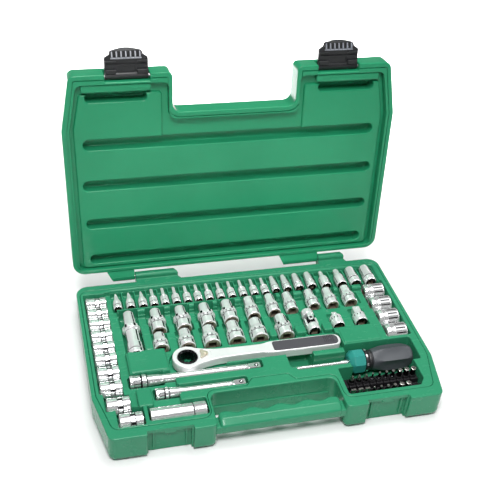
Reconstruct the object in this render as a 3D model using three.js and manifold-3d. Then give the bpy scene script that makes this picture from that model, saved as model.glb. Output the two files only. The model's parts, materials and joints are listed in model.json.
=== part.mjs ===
// A socket wrench set in its moulded carrying case, lid open. Millimetres, +Z up, -Y towards the handle.
// Pieces are laid out from the case's back edge (y = 0, forwards is negative), then the whole set is
// moved back by half the case's depth, so the origin is at the centre of the case's underside.
import * as THREE from "three";
import { mergeVertices } from "three/addons/utils/BufferGeometryUtils.js";
import Module from "manifold-3d";

const wasm = await Module();
wasm.setup();

// ---- driving dimensions ----
const CASE_DEPTH = 240;
const RIM_Z = 34; // height of the base, where the lid meets it
const LID_HEIGHT = 26;
const SEAM = 0.3; // gap left between pieces that touch
const HINGE_Y = 9; // the lid's hinge line, behind the back wall
const HINGE_Z = 35.5;
const OPEN_ANGLE = 97; // degrees from closed to the open stop
const SKIN = 3; // thickness of the moulded walls
const DECK_Z = 28; // the lower part of the tool tray's top
const LATCH_X = 117.5; // centre of each latch
const LATCH_BAY = 48;
const PIN_R = 1.5;
const SIDES = 10; // facets round a socket

// ---- materials ----
const paint = (color, roughness, metalness) =>
  new THREE.MeshStandardMaterial({ color, roughness, metalness });
const GREEN = paint(0x2f9b6a, 0.5, 0);
const BLACK = paint(0x17181a, 0.45, 0);
const CHROME = paint(0xd8dadd, 0.12, 1);
const DARK_STEEL = paint(0x3a3b3d, 0.35, 1);
const GRIP_GREY = paint(0x57565f, 0.6, 0);
const HANDLE_GREY = paint(0x43474d, 0.5, 0);
const TEAL = paint(0x49b9ab, 0.4, 0);
const BRONZE = paint(0xb9a988, 0.3, 1);

// ---- solids ----
function solid(geometry) {
  const bare = new THREE.BufferGeometry();
  const whole = geometry.index ? geometry.toNonIndexed() : geometry;
  bare.setAttribute("position", whole.getAttribute("position").clone());
  const merged = mergeVertices(bare, 1e-4);
  return new wasm.Manifold(
    new wasm.Mesh({
      numProp: 3,
      vertProperties: merged.attributes.position.array,
      triVerts: new Uint32Array(merged.index.array),
    }),
  );
}

const join = (first, ...rest) => rest.reduce((a, b) => a.add(b), first);
const cut = (first, ...rest) => rest.reduce((a, b) => a.subtract(b), first);

function meshOf(name, shape, material) {
  const m = shape.getMesh();
  const geometry = new THREE.BufferGeometry();
  geometry.setAttribute("position", new THREE.BufferAttribute(m.vertProperties, 3));
  geometry.setIndex(new THREE.BufferAttribute(m.triVerts, 1));
  const flat = geometry.toNonIndexed();
  flat.computeVertexNormals();
  const mesh = new THREE.Mesh(flat, material);
  mesh.name = name;
  return mesh;
}

// A block between two corners.
function block(x0, x1, y0, y1, z0, z1) {
  const g = new THREE.BoxGeometry(Math.abs(x1 - x0), Math.abs(y1 - y0), Math.abs(z1 - z0));
  return solid(g.translate((x0 + x1) / 2, (y0 + y1) / 2, (z0 + z1) / 2));
}

// Rounds each corner of an outline. Each entry is [x, y, radius].
function rounded(corners, steps = 4) {
  const shape = [];
  corners.forEach(([x, y, r = 0], i) => {
    if (!r) return shape.push([x, y]);
    const [px, py] = corners[(i + corners.length - 1) % corners.length];
    const [nx, ny] = corners[(i + 1) % corners.length];
    const here = new THREE.Vector2(x, y);
    const back = new THREE.Vector2(px, py).sub(here).normalize();
    const on = new THREE.Vector2(nx, ny).sub(here).normalize();
    const half = Math.acos(THREE.MathUtils.clamp(back.dot(on), -1, 1)) / 2;
    const reach = r / Math.tan(half);
    const centre = here.clone().add(back.clone().add(on).normalize().multiplyScalar(r / Math.sin(half)));
    const from = here.clone().add(back.multiplyScalar(reach)).sub(centre);
    const to = here.clone().add(on.multiplyScalar(reach)).sub(centre);
    const turn = Math.atan2(from.cross(to), from.dot(to));
    for (let k = 0; k <= steps; k++) {
      const a = (turn * k) / steps;
      shape.push([
        centre.x + from.x * Math.cos(a) - from.y * Math.sin(a),
        centre.y + from.x * Math.sin(a) + from.y * Math.cos(a),
      ]);
    }
  });
  return shape;
}

// An upright prism of an outline in the XY plane.
function prism(points, z0, z1, bevel = 0) {
  const shape = new THREE.Shape(points.map(([x, y]) => new THREE.Vector2(x, y)));
  const g = new THREE.ExtrudeGeometry(shape, {
    depth: z1 - z0 - 2 * bevel,
    bevelEnabled: bevel > 0,
    bevelThickness: bevel,
    bevelSize: bevel,
    bevelOffset: -bevel,
    bevelSegments: 1,
    curveSegments: 1,
  });
  return solid(g.translate(0, 0, z0 + bevel));
}

// A prism along X of an outline given as [y, z].
function beam(points, x0, x1) {
  const shape = new THREE.Shape(points.map(([y, z]) => new THREE.Vector2(y, z)));
  const g = new THREE.ExtrudeGeometry(shape, { depth: x1 - x0, bevelEnabled: false });
  g.rotateX(Math.PI / 2).rotateZ(Math.PI / 2);
  return solid(g.translate(x0, 0, 0));
}

// Turns geometry that stands along +Y so that it lies along the named axis.
function lay(g, axis) {
  if (axis === "x") g.rotateZ(-Math.PI / 2);
  if (axis === "z") g.rotateX(Math.PI / 2);
  return g;
}

// A turned piece. The profile is a list of [distance along the axis, radius].
function turned(profile, axis, sides = SIDES) {
  const ends = [[profile[0][0], 0], ...profile, [profile[profile.length - 1][0], 0]];
  const points = ends.map(([a, r]) => new THREE.Vector2(r, a));
  return solid(lay(new THREE.LatheGeometry(points, sides), axis));
}

// A straight rod or hole with a given number of flats, r measured to its corners.
function rod(a0, a1, r, axis, sides, turn = 0) {
  const g = new THREE.CylinderGeometry(r, r, a1 - a0, sides);
  g.rotateY(turn).translate(0, (a0 + a1) / 2, 0);
  return solid(lay(g, axis));
}

const at = (shape, x, y, z) => shape.translate([x, y, z]);
const SQUARE = Math.PI / 4; // turns a four-sided rod so its flats face the axes

// ---- the case ----
// The case's plan: full width at the back, tapered ears at the front with the handle's notch between.
const OUTLINE = rounded([
  [-189, 0, 14],
  [-190, -180, 20],
  [-179, -240, 8],
  [-69.5, -240, 6],
  [-69.5, -195, 9],
  [69.5, -195, 9],
  [69.5, -240, 6],
  [179, -240, 8],
  [190, -180, 20],
  [189, 0, 14],
]);

// The line where the tool tray drops into the base.
function trayOutline(inset) {
  const i = inset;
  return rounded(
    [
      [-185.5 + i, -9 - i, 10],
      [-185.5 + i, -178],
      [-174 + i, -227.5 + i, 9],
      [-72 - i, -227.5 + i, 10],
      [-72 - i, -190.5 + i, 9],
      [-27 - i, -190.5 + i, 3],
      [-20 - i, -181 + i, 4],
      [20 + i, -181 + i, 4],
      [27 + i, -190.5 + i, 3],
      [72 + i, -190.5 + i, 9],
      [72 + i, -227 + i, 10],
      [173 - i, -227 + i, 9],
      [185.5 - i, -178],
      [185.5 - i, -9 - i, 10],
    ],
    3,
  );
}

function handleBar() {
  const wave = [];
  for (let k = 0; k <= 24; k++) {
    const x = 66 - (k * 132) / 24;
    wave.push([x, -221.5 + 1.6 * Math.cos((x / 30) * 2 * Math.PI)]);
  }
  const plan = [[-71, -238], [71, -238], [71, -220], ...wave, [-71, -220]];
  const section = [[-218, 16], [-218, 31], [-229, 31], [-238, 27], [-238, 18], [-235, 16]];
  return prism(plan, 15, 32).intersect(beam(section, -71, 71));
}

function baseShell() {
  let body = prism(OUTLINE, 0, RIM_Z + 4, 4).intersect(block(-200, 200, -250, 10, -1, RIM_Z));
  body = cut(body, prism(trayOutline(0), SKIN, RIM_Z + 5));
  for (const side of [-1, 1]) {
    const x0 = side * LATCH_X - LATCH_BAY / 2;
    const x1 = side * LATCH_X + LATCH_BAY / 2;
    body = cut(body, block(x0, x1, -245, -234.5, -1, 40), block(x0, x1, -240, -231, -1, 29.5));
    body = body.add(block(side * LATCH_X - 6, side * LATCH_X + 6, -234.5, -230.5, 26.5, 30));
  }
  body = body.add(handleBar());
  // hinge knuckles on the back wall, each bored for its pin
  const knuckle = [[1, 12], [3, 12], [HINGE_Y + 4.5, 30], [HINGE_Y + 4.5, 38], [HINGE_Y + 2.5, 40]];
  knuckle.push([HINGE_Y - 2.5, 40], [HINGE_Y - 4.5, 38], [HINGE_Y - 4.5, 33.5], [-1, 33.5], [-1, 12]);
  body = body.add(beam(knuckle, -117, -73)).add(beam(knuckle, 113.5, 141.5));
  return cut(body, at(rod(-200, 200, PIN_R + SEAM, "x", 10), 0, HINGE_Y, HINGE_Z));
}

// Where each socket lies: the middle of its axis, its radii and its two ends.
const LEFT_R = [8.6, 8.7, 8.9, 9.1, 9.3, 9.6, 10.2, 10.8, 11.2, 11.4];
const LEFT_Y = [-25.4, -43.6, -61.9, -81.2, -100.5, -119.9, -141.9, -164.3, -189.4, -213];
const LEFT_X = (i) => (i === 9 ? -166.5 : i === 8 ? -176.5 : -180.4);
const LEFT_LENGTH = (i) => (i < 8 ? 23.8 : 24.8);
const LEFT_Z = 26;

const RIGHT_R = [11.3, 11.5, 12.2, 12.6];
const RIGHT_Y = [-55.4, -79.8, -104.2, -130.2];
const RIGHT_X0 = 153;
const RIGHT_X1 = 178.5;
const RIGHT_Z = 25;

// Rows across the middle: [x, back end, front end, nose radius, body radius, collar radius]
const ROW_Z = 30;
const ROW_TOP = 38.6; // the highest that a socket reaches, under the closed lid's liner
const rowZ = (r) => Math.min(ROW_Z, ROW_TOP - r); // the thickest sockets lie deeper
const SECOND_ROW = [
  [-103.6, -51, -87.5, 6.3, 8.6, 10.3],
  [-74.5, -51, -87.5, 6.5, 8.7, 10.3],
  [-46, -50.5, -87, 6.6, 8.9, 10.3],
  [-19, -50, -84.5, 6.6, 8.8, 9.6],
  [8.4, -49, -82.5, 6.0, 8.2, 0],
  [34, -48, -80, 5.8, 7.8, 0],
  [56, -48, -79.5, 5.2, 7.6, 0],
  [83.7, -47.5, -77, 5.4, 7.8, 0],
  [106.7, -48, -78, 5.4, 8.0, 0],
  [130.2, -47.5, -77.5, 5.6, 8.3, 0],
];
const THIRD_ROW = [
  [-106, -93.5, -117.5, 6.4, 8.8, 0],
  [-77, -92, -119, 6.8, 9.3, 0],
  [-49, -90.5, -119.5, 7.2, 9.8, 0],
  [-20.3, -87.5, -118.5, 7.4, 10.0, 0],
  [6.7, -87, -119, 7.6, 10.2, 0],
  [37.7, -85, -119.5, 7.8, 9.7, 10.2],
];
const U_JOINT = { x: 71.5, back: -82.5, pivot: -99.5, front: -118, r: 7.6 };
const ADAPTERS = [
  [102.5, -91, -98, -114.5, 3.2, 7.4],
  [131.2, -86.5, -98.5, -112, 4.6, 7.8],
];
const SPINNER = { x: -134.5, back: -51, front: -121.5, r: 10.2 };

// Straight bars and long sockets that lie across the case
const LONG_BAR = { x0: -148, x1: -4.5, y: -160, z: 28 };
const SHORT_BAR = { x0: -124, x1: -26.5, y: -181.7, z: 28 };
const PLUG_SOCKET = { x0: -134, x1: -75.5, y: -210, z: 26, r: 9.6 };
const DRIVER = { y: -164, z: 21, x0: 35, x1: 173 };
const WRENCH = { x: -81.7, y: -138.8, top: 36, bottom: 24.5 };

// The slim bits lie in one row along the back: [x, shape]
const TIP_X = [-144.5, -129.5, -115, -102, -89, -75.5, -62, -49, -36, -22, -8.5, 5.5, 19.5, 33];
const CONE_X = [46.5, 61, 76, 92];
const STUB_X = [110, 130];
const PLAIN_X = [148, 167.5];
const BACK_ROW_Z = 31;

// One pocket under each piece that lies across the tray.
const slot = (x, y0, y1, r, z) => block(x - r - 1.5, x + r + 1.5, y0, y1, z - r - 0.6, 45);

function toolTray() {
  let tray = prism(trayOutline(SEAM), SKIN + SEAM, RIM_Z);
  const leftPocket = [
    [-181.8, -16],
    [-156, -16],
    [-156, -176.5],
    [-151, -176.5],
    [-151, -200],
    [-140, -200],
    [-140, -225],
    [-168, -225],
    [-168, -201.5],
    [-178, -201.5],
    [-178, -177],
    [-181.8, -177],
  ];
  tray = cut(
    tray,
    prism(leftPocket.reverse(), LEFT_Z - 11.8, 45),
    block(151, 180.5, -43, -143.5, RIGHT_Z - 13, 45),
    block(-156.5, -146, -14, -199, DECK_Z, 45), // the lower strip beside the left column
    block(-146.5, 151.5, -53.4, -118, DECK_Z, 45), // the lower deck between the rows
    block(-98, 93, -117, -129, DECK_Z, 45), // and behind the wrench
    block(-149, -100, -154, -199, DECK_Z, 45), // and round the bars' heads
    block(-151.5, 178.5, -13, -46.2, 23.3, 45), // the back row's trough
    block(-146, 144, -54.7, -75.7, 24, 45), // the finger trough across the second row
  );
  // raised islands on the deck
  tray = join(
    tray,
    block(-124.4, -114.8, -119, -77, 20, RIM_Z),
    block(16.9, 27.4, -121, -107, 20, RIM_Z),
    block(48, 62.4, -121, -107, 20, RIM_Z),
    block(80.6, 93.3, -121, -107, 20, RIM_Z),
    block(141.5, 151, -119, -93, 20, RIM_Z),
    block(-144, -128.5, -201, -174.5, 20, RIM_Z),
  );
  SECOND_ROW.forEach(([x, y0, y1, nose, r, collar]) => {
    const wide = Math.max(r, collar);
    tray = cut(tray, slot(x, y1 - 2, y0 + 1.5, wide, rowZ(wide)));
  });
  THIRD_ROW.forEach(([x, y0, y1, nose, r, collar]) => {
    const wide = Math.max(r, collar);
    tray = cut(tray, slot(x, y1 - 2.2, y0 + 3, wide, rowZ(wide)));
  });
  ADAPTERS.forEach(([x, y0, , y1, , r]) => {
    tray = cut(tray, slot(x, y1 - 2.5, y0 + 2, r, ROW_Z));
  });
  tray = cut(
    tray,
    slot(U_JOINT.x, U_JOINT.front - 2, U_JOINT.back + 3, U_JOINT.r + 1.2, ROW_Z),
    slot(SPINNER.x, SPINNER.front - 1.5, SPINNER.back + 2, SPINNER.r, rowZ(SPINNER.r)),
    // the wrench: head, shank and grip
    at(rod(22, 45, 20, "z", 24), WRENCH.x, WRENCH.y, 0),
    block(WRENCH.x, -40, WRENCH.y - 16, WRENCH.y + 12.5, 23, 45),
    block(WRENCH.x, 10, WRENCH.y - 13, WRENCH.y + 10, 23, 45),
    block(8, 96.5, WRENCH.y - 13, WRENCH.y + 12, 23, 45),
    block(27, 57.5, -173, -140, 10, 45), // finger hollow beside the grip
    // extension bars
    block(LONG_BAR.x0 - 2, -111, -169.5, -152.5, 19.5, 45),
    block(-112, LONG_BAR.x1 + 2, -166.5, -154, 19.5, 45),
    block(SHORT_BAR.x0 - 2.5, -98, -190, -174.5, 19.5, 45),
    block(-110, SHORT_BAR.x1 + 2, -187.2, -176.4, 19.5, 45),
    // long socket, driver and bit rack
    block(PLUG_SOCKET.x0 - 2, PLUG_SOCKET.x1 + 1.5, -221.5, -199, 15.5, 45),
    block(94, 176, -183.5, -147.5, 5, 45),
    block(33, 95, -177, -159.5, 17, 45),
    block(77.5, 166.5, -222, -183, 7, 45),
  );
  return tray;
}

// ---- the lid, modelled closed ----
const LID_FLOOR = RIM_Z + SEAM;
const LID_TOP = LID_FLOOR + LID_HEIGHT;
const PANEL_Z = LID_FLOOR + 5.2; // the liner's face, clear above the tools
const LINER_TOP = LID_TOP - SKIN - SEAM;

function linerOutline(i) {
  return rounded(
    [
      [-181 + i, -4.5 - i, 8],
      [-181.5 + i, -179],
      [-172 + i, -229 + i, 7],
      [-73.5 - i, -229 + i, 7],
      [-73.5 - i, -187 + i, 8],
      [73.5 + i, -187 + i, 8],
      [73.5 + i, -229 + i, 7],
      [172 - i, -229 + i, 7],
      [181.5 - i, -179],
      [181 - i, -4.5 - i, 8],
    ],
    3,
  );
}

function lidShell() {
  const dome = prism(OUTLINE, LID_FLOOR - 5, LID_TOP, 5);
  let body = dome.intersect(block(-200, 200, -250, 10, LID_FLOOR, 80));
  body = cut(body, prism(linerOutline(0), LID_FLOOR - 1, LID_TOP - SKIN));
  for (const side of [-1, 1]) {
    const x = side * LATCH_X;
    const w = LATCH_BAY / 2;
    body = cut(body, block(x - w, x + w, -250, -231.6, 30, 53));
    body = cut(body, at(rod(x - w - 7, x + w + 7, PIN_R + SEAM, "x", 10), 0, -235.5, 42));
  }
  // the lid's knuckles reach down past the rim to the hinge line
  const r = 4.2;
  const arm = [[-1, 36], [HINGE_Y - 4, HINGE_Z - r + 1.2], [HINGE_Y - 1.8, HINGE_Z - r]];
  arm.push([HINGE_Y + 1.8, HINGE_Z - r], [HINGE_Y + r, HINGE_Z - 1.8], [HINGE_Y + r, HINGE_Z + 2]);
  arm.push([HINGE_Y - 2, 50], [-1, 52]);
  for (const [x0, x1] of [[-142, -117.6], [70, 112.9]]) {
    body = body.add(beam(arm, x0, x1));
  }
  return cut(body, at(rod(-200, 200, PIN_R + SEAM, "x", 10), 0, HINGE_Y, HINGE_Z));
}

// Four long round-ended channels: [near side, far side, half length]
const CHANNELS = [
  [-10.5, -22.5, 168],
  [-57, -69, 170],
  [-105, -117.5, 171],
  [-154, -166.5, 168],
];

function lidLiner() {
  let body = prism(linerOutline(SEAM), PANEL_Z, LINER_TOP);
  for (const [y1, y0, half] of CHANNELS) {
    const r = (y1 - y0) / 2 - 0.01;
    const ends = rounded([[-half, y0, r], [half, y0, r], [half, y1, r], [-half, y1, r]], 3);
    body = cut(body, prism(ends, PANEL_Z - 1, PANEL_Z + 8));
  }
  // hollow behind the panel between the channels
  const bands = [[-25, -54.5], [-71.5, -102.5], [-120, -151.5]];
  for (const [y1, y0] of bands) {
    body = cut(body, block(-174, 174, y0, y1, PANEL_Z + SKIN, 80));
  }
  for (const side of [-1, 1]) {
    const pocket = rounded([[97, -219, 6], [163, -219, 6], [163, -205.5, 6], [97, -205.5, 6]], 2);
    const shaped = pocket.map(([x, y]) => [side * x, y]);
    if (side < 0) shaped.reverse();
    body = cut(body, prism(shaped, PANEL_Z - 1, PANEL_Z + 7));
  }
  // a shallow step between the ears
  return cut(body, block(-80, 80, -200, -166, PANEL_Z - 1, PANEL_Z + 2.5));
}

// A latch, modelled open: it points forward (-y) from its pin, hook side down.
function latch() {
  const w = LATCH_BAY / 2 - 1;
  const py = -235.5;
  const pz = 42;
  const round = (points) => points.map(([y, z]) => [py + y, pz + z]);
  const plate = [[0, 3.3], [-22, 3], [-26, 4.2], [-30, 6.6], [-31.5, 6.2], [-31, 4.2], [-27, 1]];
  plate.push([-24, -0.5], [-4, -0.5], [-2.3, -2.3], [0, -3.3], [2.3, -2.3], [3.3, 0], [2.3, 2.3]);
  let body = beam(round(plate), -w, w);
  // two hook bars that catch under the base's lip, one each side of its tab
  const hook = [[-16.8, 0], [-16.8, -3], [-15.8, -4], [-13.9, -4], [-13.9, 0]];
  body = join(body, beam(round(hook), -w + 3, -7.5), beam(round(hook), 7.5, w - 3));
  // grip ribs on the near side of the flared thumb edge
  const rib = [[-21, 0], [-24, -2], [-30, 1.2], [-30.6, 5]];
  for (let x = -18; x <= 18; x += 6) body = body.add(beam(round(rib), x - 1, x + 1));
  return cut(body, at(rod(-40, 40, PIN_R + SEAM, "x", 10), 0, py, pz));
}

// ---- sockets and bits ----
// A socket along +X from 0: drive end first, then its ring, then the hexagon end.
function crossSocket(r, length) {
  const body = turned(
    [
      [0, r * 0.86],
      [1.2, r * 0.96],
      [length * 0.36, r * 0.96],
      [length * 0.4, r * 0.9],
      [length * 0.6, r * 0.9],
      [length * 0.66, r],
      [length - 1, r],
      [length, r * 0.9],
    ],
    "x",
  );
  const drive = rod(-1, length / 2 + 1, 6.8 * Math.min(1, r / 9), "x", 4, SQUARE);
  return cut(body, drive, rod(length * 0.45, length + 1, r * 0.7, "x", 6));
}

// A small socket along Y with its narrow hexagon nose at the back and the drive end in front.
function noseSocket(y0, y1, nose, r, collar) {
  const length = y0 - y1;
  const step = y1 + length * 0.5;
  const profile = [
    [y1, r * 0.92],
    [y1 + 0.8, r],
    [step - 3, r],
  ];
  if (collar) profile.push([step - 2.6, collar], [step + 1.6, collar]);
  profile.push([step + 2.4, nose + 0.6], [y0 - 1, nose], [y0, nose * 0.85]);
  const body = turned(profile, "y", SIDES);
  const drive = rod(y1 - 1, y1 + length * 0.45, Math.min(6.4, r * 0.74), "y", 4, SQUARE);
  return cut(body, drive, rod(y1 + length * 0.4, y0 + 1, nose * 0.62, "y", 6));
}

// The back row: slim bits held in short sockets, all on one hidden rail.
function backRow() {
  const z = BACK_ROW_Z;
  const pieces = [];
  const add = (x, profile, sides = 8) => pieces.push(at(turned(profile, "y", sides), x, 0, z));
  TIP_X.forEach((x, i) => {
    const nearest = -14.4;
    if (i < 3) add(x, [[-44, 4.7], [-38, 5], [-20, 1.6], [nearest - 3, 0.8]]);
    else add(x, [[-44, 4.6], [-31, 4.8], [-28, 3.6], [-27.5, 1.7], [nearest, 1.4]]);
  });
  CONE_X.forEach((x, i) => add(x, [[-41, 4.9 + 0.3 * i], [-34, 4.8 + 0.3 * i], [-14.2, 1.9 + 0.5 * i]]));
  STUB_X.forEach((x, i) => {
    const r = 6.2 + 0.3 * i;
    add(x, [[-43, r], [-30, r], [-24, r * 0.7], [-23.5, 2.6 + i], [-14.3, 2.2 + i]]);
  });
  PLAIN_X.forEach((x, i) => add(x, [[-44, 7 + 0.4 * i], [-33, 6.8 + 0.4 * i], [-14.6, 4.4 + 0.4 * i]]));
  return join(...pieces, block(-146, 169, -38, -34, 23.6, 29));
}

// Two rows of upright bits in a slotted holder.
function bitRack() {
  let rack = block(78.5, 165.5, -221, -192.5, 7.6, 26);
  rack = cut(rack, block(77, 167, -212.5, -204.5, 20, 30));
  const pitch = 7.95;
  const bit = (x, y, i) => {
    const tip = i < 3 ? 1 : 1.2 + 0.22 * i;
    return at(turned([[24, 3.4], [30, 3.4], [35.4, tip]], "z", 6), x, y, 0);
  };
  for (let i = 0; i < 10; i++) rack = rack.add(bit(89 + i * pitch, -198.2, i));
  for (let i = 0; i < 9; i++) rack = rack.add(bit(84 + i * pitch, -217, i));
  return rack;
}

// ---- the ratchet wrench ----
function wrenchBody() {
  const { x, y, top, bottom } = WRENCH;
  const head = at(rod(bottom, top, 15.6, "z", 28), x, y, 0);
  const neck = [
    [x + 8, y - 13],
    [-52, y - 7.6],
    [6, y - 6.6],
    [13, y - 9],
    [90, y - 9],
    [94.5, y - 4],
    [94.5, y + 4],
    [90, y + 9],
    [13, y + 9],
    [6, y + 6.4],
    [-52, y + 7.4],
    [x + 8, y + 13],
  ];
  let body = join(head, prism(neck, bottom + 1.5, top - 0.6));
  body = cut(body, at(rod(bottom - 1, top + 1, 11.3, "z", 28), x, y, 0));
  // recess for the grip inlay, and the pivot hole of the reversing lever
  body = cut(body, prism(gripOutline(0), top - 2.6, top + 2));
  return cut(body, at(rod(top - 6, top + 2, 2.3, "z", 12), x + 19.5, y + 1, 0));
}

function gripOutline(inset) {
  const { y } = WRENCH;
  const h = 7.6 - inset;
  return rounded([[15 + inset, y - h, 3], [91.5 - inset, y - h, 6], [91.5 - inset, y + h, 6], [15 + inset, y + h, 3]], 3);
}

function wrenchGrip() {
  const { top } = WRENCH;
  let grip = prism(gripOutline(SEAM), top - 2.3, top + 0.4);
  for (let k = 0; k < 6; k++) {
    const x = 76 + k * 2.2;
    grip = cut(grip, block(x, x + 1, WRENCH.y - 9, WRENCH.y + 9, top - 0.3, top + 2));
  }
  return grip;
}

function wrenchRing() {
  const { x, y, top, bottom } = WRENCH;
  const star = [];
  for (let k = 0; k < 36; k++) {
    const a = (k * Math.PI) / 18;
    const r = k % 2 ? 7.4 : 8.4;
    star.push([r * Math.cos(a), r * Math.sin(a)]);
  }
  const ring = cut(rod(bottom + 0.6, top + 0.6, 11, "z", 28), prism(star, bottom - 1, top + 2));
  return at(ring, x, y, 0);
}

function wrenchLever() {
  const { x, y, top } = WRENCH;
  const fan = [[-6.5, -5.5], [-5, -6.5], [3, -2.4], [3.4, 0], [3, 2.4], [-2.5, 6.4], [-5.5, 5]];
  const blade = prism(fan, top + SEAM, top + 1.9);
  const stem = rod(top - 5, top + 1, 2, "z", 12);
  return at(join(blade, stem), x + 19.5, y + 1, 0);
}

// ---- the ratchet driver ----
function driverHandle() {
  const grip = turned(
    [
      [119, 10],
      [120, 11.5],
      [125, 11.8],
      [131, 13.6],
      [140, 14.8],
      [158, 15],
      [168, 14],
      [172, 11],
      [173, 8],
    ],
    "x",
    16,
  );
  return cut(grip, rod(118, 150, 3.4, "x", 16));
}

const driverCollar = () =>
  cut(turned([[96.5, 8], [97, 10], [101.5, 14], [113.5, 14], [114.8, 12.6]], "x", 12), rod(90, 120, 3.4, "x", 16));
const driverRing = () =>
  cut(turned([[115.1, 12.2], [115.6, 12.8], [118.2, 12.8], [118.7, 12.2]], "x", 16), rod(90, 120, 3.4, "x", 16));
const driverShaft = () =>
  turned([[35, 1.4], [36, 2.2], [88, 2.2], [90, 2.9], [148, 2.9]], "x", 12);

// ---- extension bars, long sockets, joint and adapters ----
function extensionBar(length, r, head, headLength) {
  const bar = turned(
    [
      [0, head * 0.9],
      [1, head],
      [headLength - 1, head],
      [headLength, head * 0.86],
      [headLength + 12, r + 0.8],
      [headLength + 16, r],
      [length - 14, r],
      [length - 12.5, r * 0.82],
      [length - 12, r * 0.82],
    ],
    "x",
  );
  const tip = rod(length - 13, length, 4.6 * 1.15, "x", 4, SQUARE);
  const drive = rod(-1, 10, 4.8 * 1.2, "x", 4, SQUARE);
  const ball = solid(new THREE.SphereGeometry(1.8, 10, 8).translate(length - 5, 0, 3));
  return cut(join(bar, tip, ball), drive);
}

function plugSocket() {
  const { x0, x1, r } = PLUG_SOCKET;
  const n = x1 - x0;
  const body = turned([[0, r * 0.9], [1, r], [n - 14, r], [n - 13.4, r * 0.94], [n - 12.8, r * 1.04], [n - 1, r * 1.04], [n, r]], "x", 16);
  return cut(body, rod(-1, 14, 6.6, "x", 4, SQUARE), rod(13, n + 1, r * 0.72, "x", 6));
}

function spinner() {
  const { back, front, r } = SPINNER;
  const body = turned(
    [
      [front, 8.5],
      [front + 1, 9.1],
      [front + 17, 8.9],
      [front + 19, 8.0],
      [-82.5, 8.0],
      [-82, r],
      [-73, r],
      [-72.4, 7.2],
      [back - 1, 6.3],
      [back, 5.6],
    ],
    "y",
  );
  return cut(body, rod(front - 1, front + 12, 6, "y", 4, SQUARE));
}

// The joint's front half: drive hub with two ears across X, which hold the cross.
function jointFront() {
  const { pivot, front, r } = U_JOINT;
  const hub = cut(turned([[front, r * 0.92], [front + 1, r], [pivot - 8, r]], "y"), rod(front - 1, front + 9, 5.4, "y", 4, SQUARE));
  const ears = [-1, 1].map((s) => block(s * (r - 2.4), s * r * 0.98, pivot - 8.5, pivot + 3.4, -3.4, 3.4));
  const hole = at(rod(-20, 20, 1.9, "x", 10), 0, pivot, 0);
  return cut(join(hub, ...ears), hole);
}

// The back half: square end with two ears above and below the cross.
function jointBack() {
  const { pivot, back, r } = U_JOINT;
  const hub = turned([[pivot + 8, r * 0.9], [back - 8, r * 0.98], [back - 1, r * 0.9], [back, r * 0.7]], "y");
  const ears = [-1, 1].map((s) => block(-3, 3, pivot - 3, pivot + 8.5, s * 4.9, s * 6.9));
  const hole = at(rod(-20, 20, 1.9, "z", 10), 0, pivot, 0);
  return cut(join(hub, ...ears), hole);
}

function jointCross() {
  const { pivot, r } = U_JOINT;
  const centre = block(-4, 4, -4, 4, -4, 4);
  const arms = join(centre, rod(-r + 0.2, r - 0.2, 1.6, "x", 10), rod(-6.7, 6.7, 1.6, "z", 10));
  return at(arms, 0, pivot, 0);
}

function adapter([, y0, shoulder, y1, tip, r]) {
  const body = turned([[y1, r * 0.92], [y1 + 0.8, r], [shoulder - 1.5, r], [shoulder, r * 0.8]], "y");
  const square = rod(shoulder - 1, y0, tip * 1.3, "y", 4, SQUARE);
  return cut(join(body, square), rod(y1 - 1, y1 + 9, Math.min(r * 0.8, 6), "y", 4, SQUARE));
}

// ---- the assembly ----
const set = new THREE.Group();
set.position.y = CASE_DEPTH / 2;
const place = (parent, name, shape, material) => parent.add(meshOf(name, shape, material));

place(set, "base_shell", baseShell(), GREEN);
place(set, "tool_tray", toolTray(), GREEN);
place(set, "hinge_pin_left", at(rod(-141.5, -73.5, PIN_R, "x", 10), 0, HINGE_Y, HINGE_Z), CHROME);
place(set, "hinge_pin_right", at(rod(70.5, 141, PIN_R, "x", 10), 0, HINGE_Y, HINGE_Z), CHROME);

const lid = new THREE.Group();
lid.position.set(0, HINGE_Y, HINGE_Z);
lid.rotation.x = -THREE.MathUtils.degToRad(OPEN_ANGLE);
const closed = new THREE.Group(); // holds the lid's pieces where they are when it is shut
closed.position.set(0, -HINGE_Y, -HINGE_Z);
lid.add(closed);
set.add(lid);
place(closed, "lid_shell", lidShell(), GREEN);
place(closed, "lid_liner", lidLiner(), GREEN);
for (const [side, word] of [[-1, "left"], [1, "right"]]) {
  const x = side * LATCH_X;
  place(closed, "latch_" + word, at(latch(), x, 0, 0), BLACK);
  place(closed, "latch_pin_" + word, at(rod(x - 29, x + 29, PIN_R, "x", 10), 0, -235.5, 42), CHROME);
}

LEFT_R.forEach((r, i) => {
  const piece = at(crossSocket(r, LEFT_LENGTH(i)), LEFT_X(i), LEFT_Y[i], LEFT_Z);
  place(set, "socket_left_" + (i + 1), piece, CHROME);
});
RIGHT_R.forEach((r, i) => {
  const piece = at(crossSocket(r, RIGHT_X1 - RIGHT_X0), RIGHT_X0, RIGHT_Y[i], RIGHT_Z);
  place(set, "socket_right_" + (i + 1), piece, CHROME);
});
SECOND_ROW.forEach(([x, ...size], i) => {
  const z = rowZ(Math.max(size[3], size[4]));
  place(set, "socket_second_" + (i + 1), at(noseSocket(...size), x, 0, z), CHROME);
});
THIRD_ROW.forEach(([x, ...size], i) => {
  const z = rowZ(Math.max(size[3], size[4]));
  place(set, "socket_third_" + (i + 1), at(noseSocket(...size), x, 0, z), CHROME);
});
ADAPTERS.forEach((sizes, i) => {
  place(set, "adapter_" + (i + 1), at(adapter(sizes), sizes[0], 0, ROW_Z), CHROME);
});
place(set, "joint_front", at(jointFront(), U_JOINT.x, 0, ROW_Z), CHROME);
place(set, "joint_cross", at(jointCross(), U_JOINT.x, 0, ROW_Z), DARK_STEEL);
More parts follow.
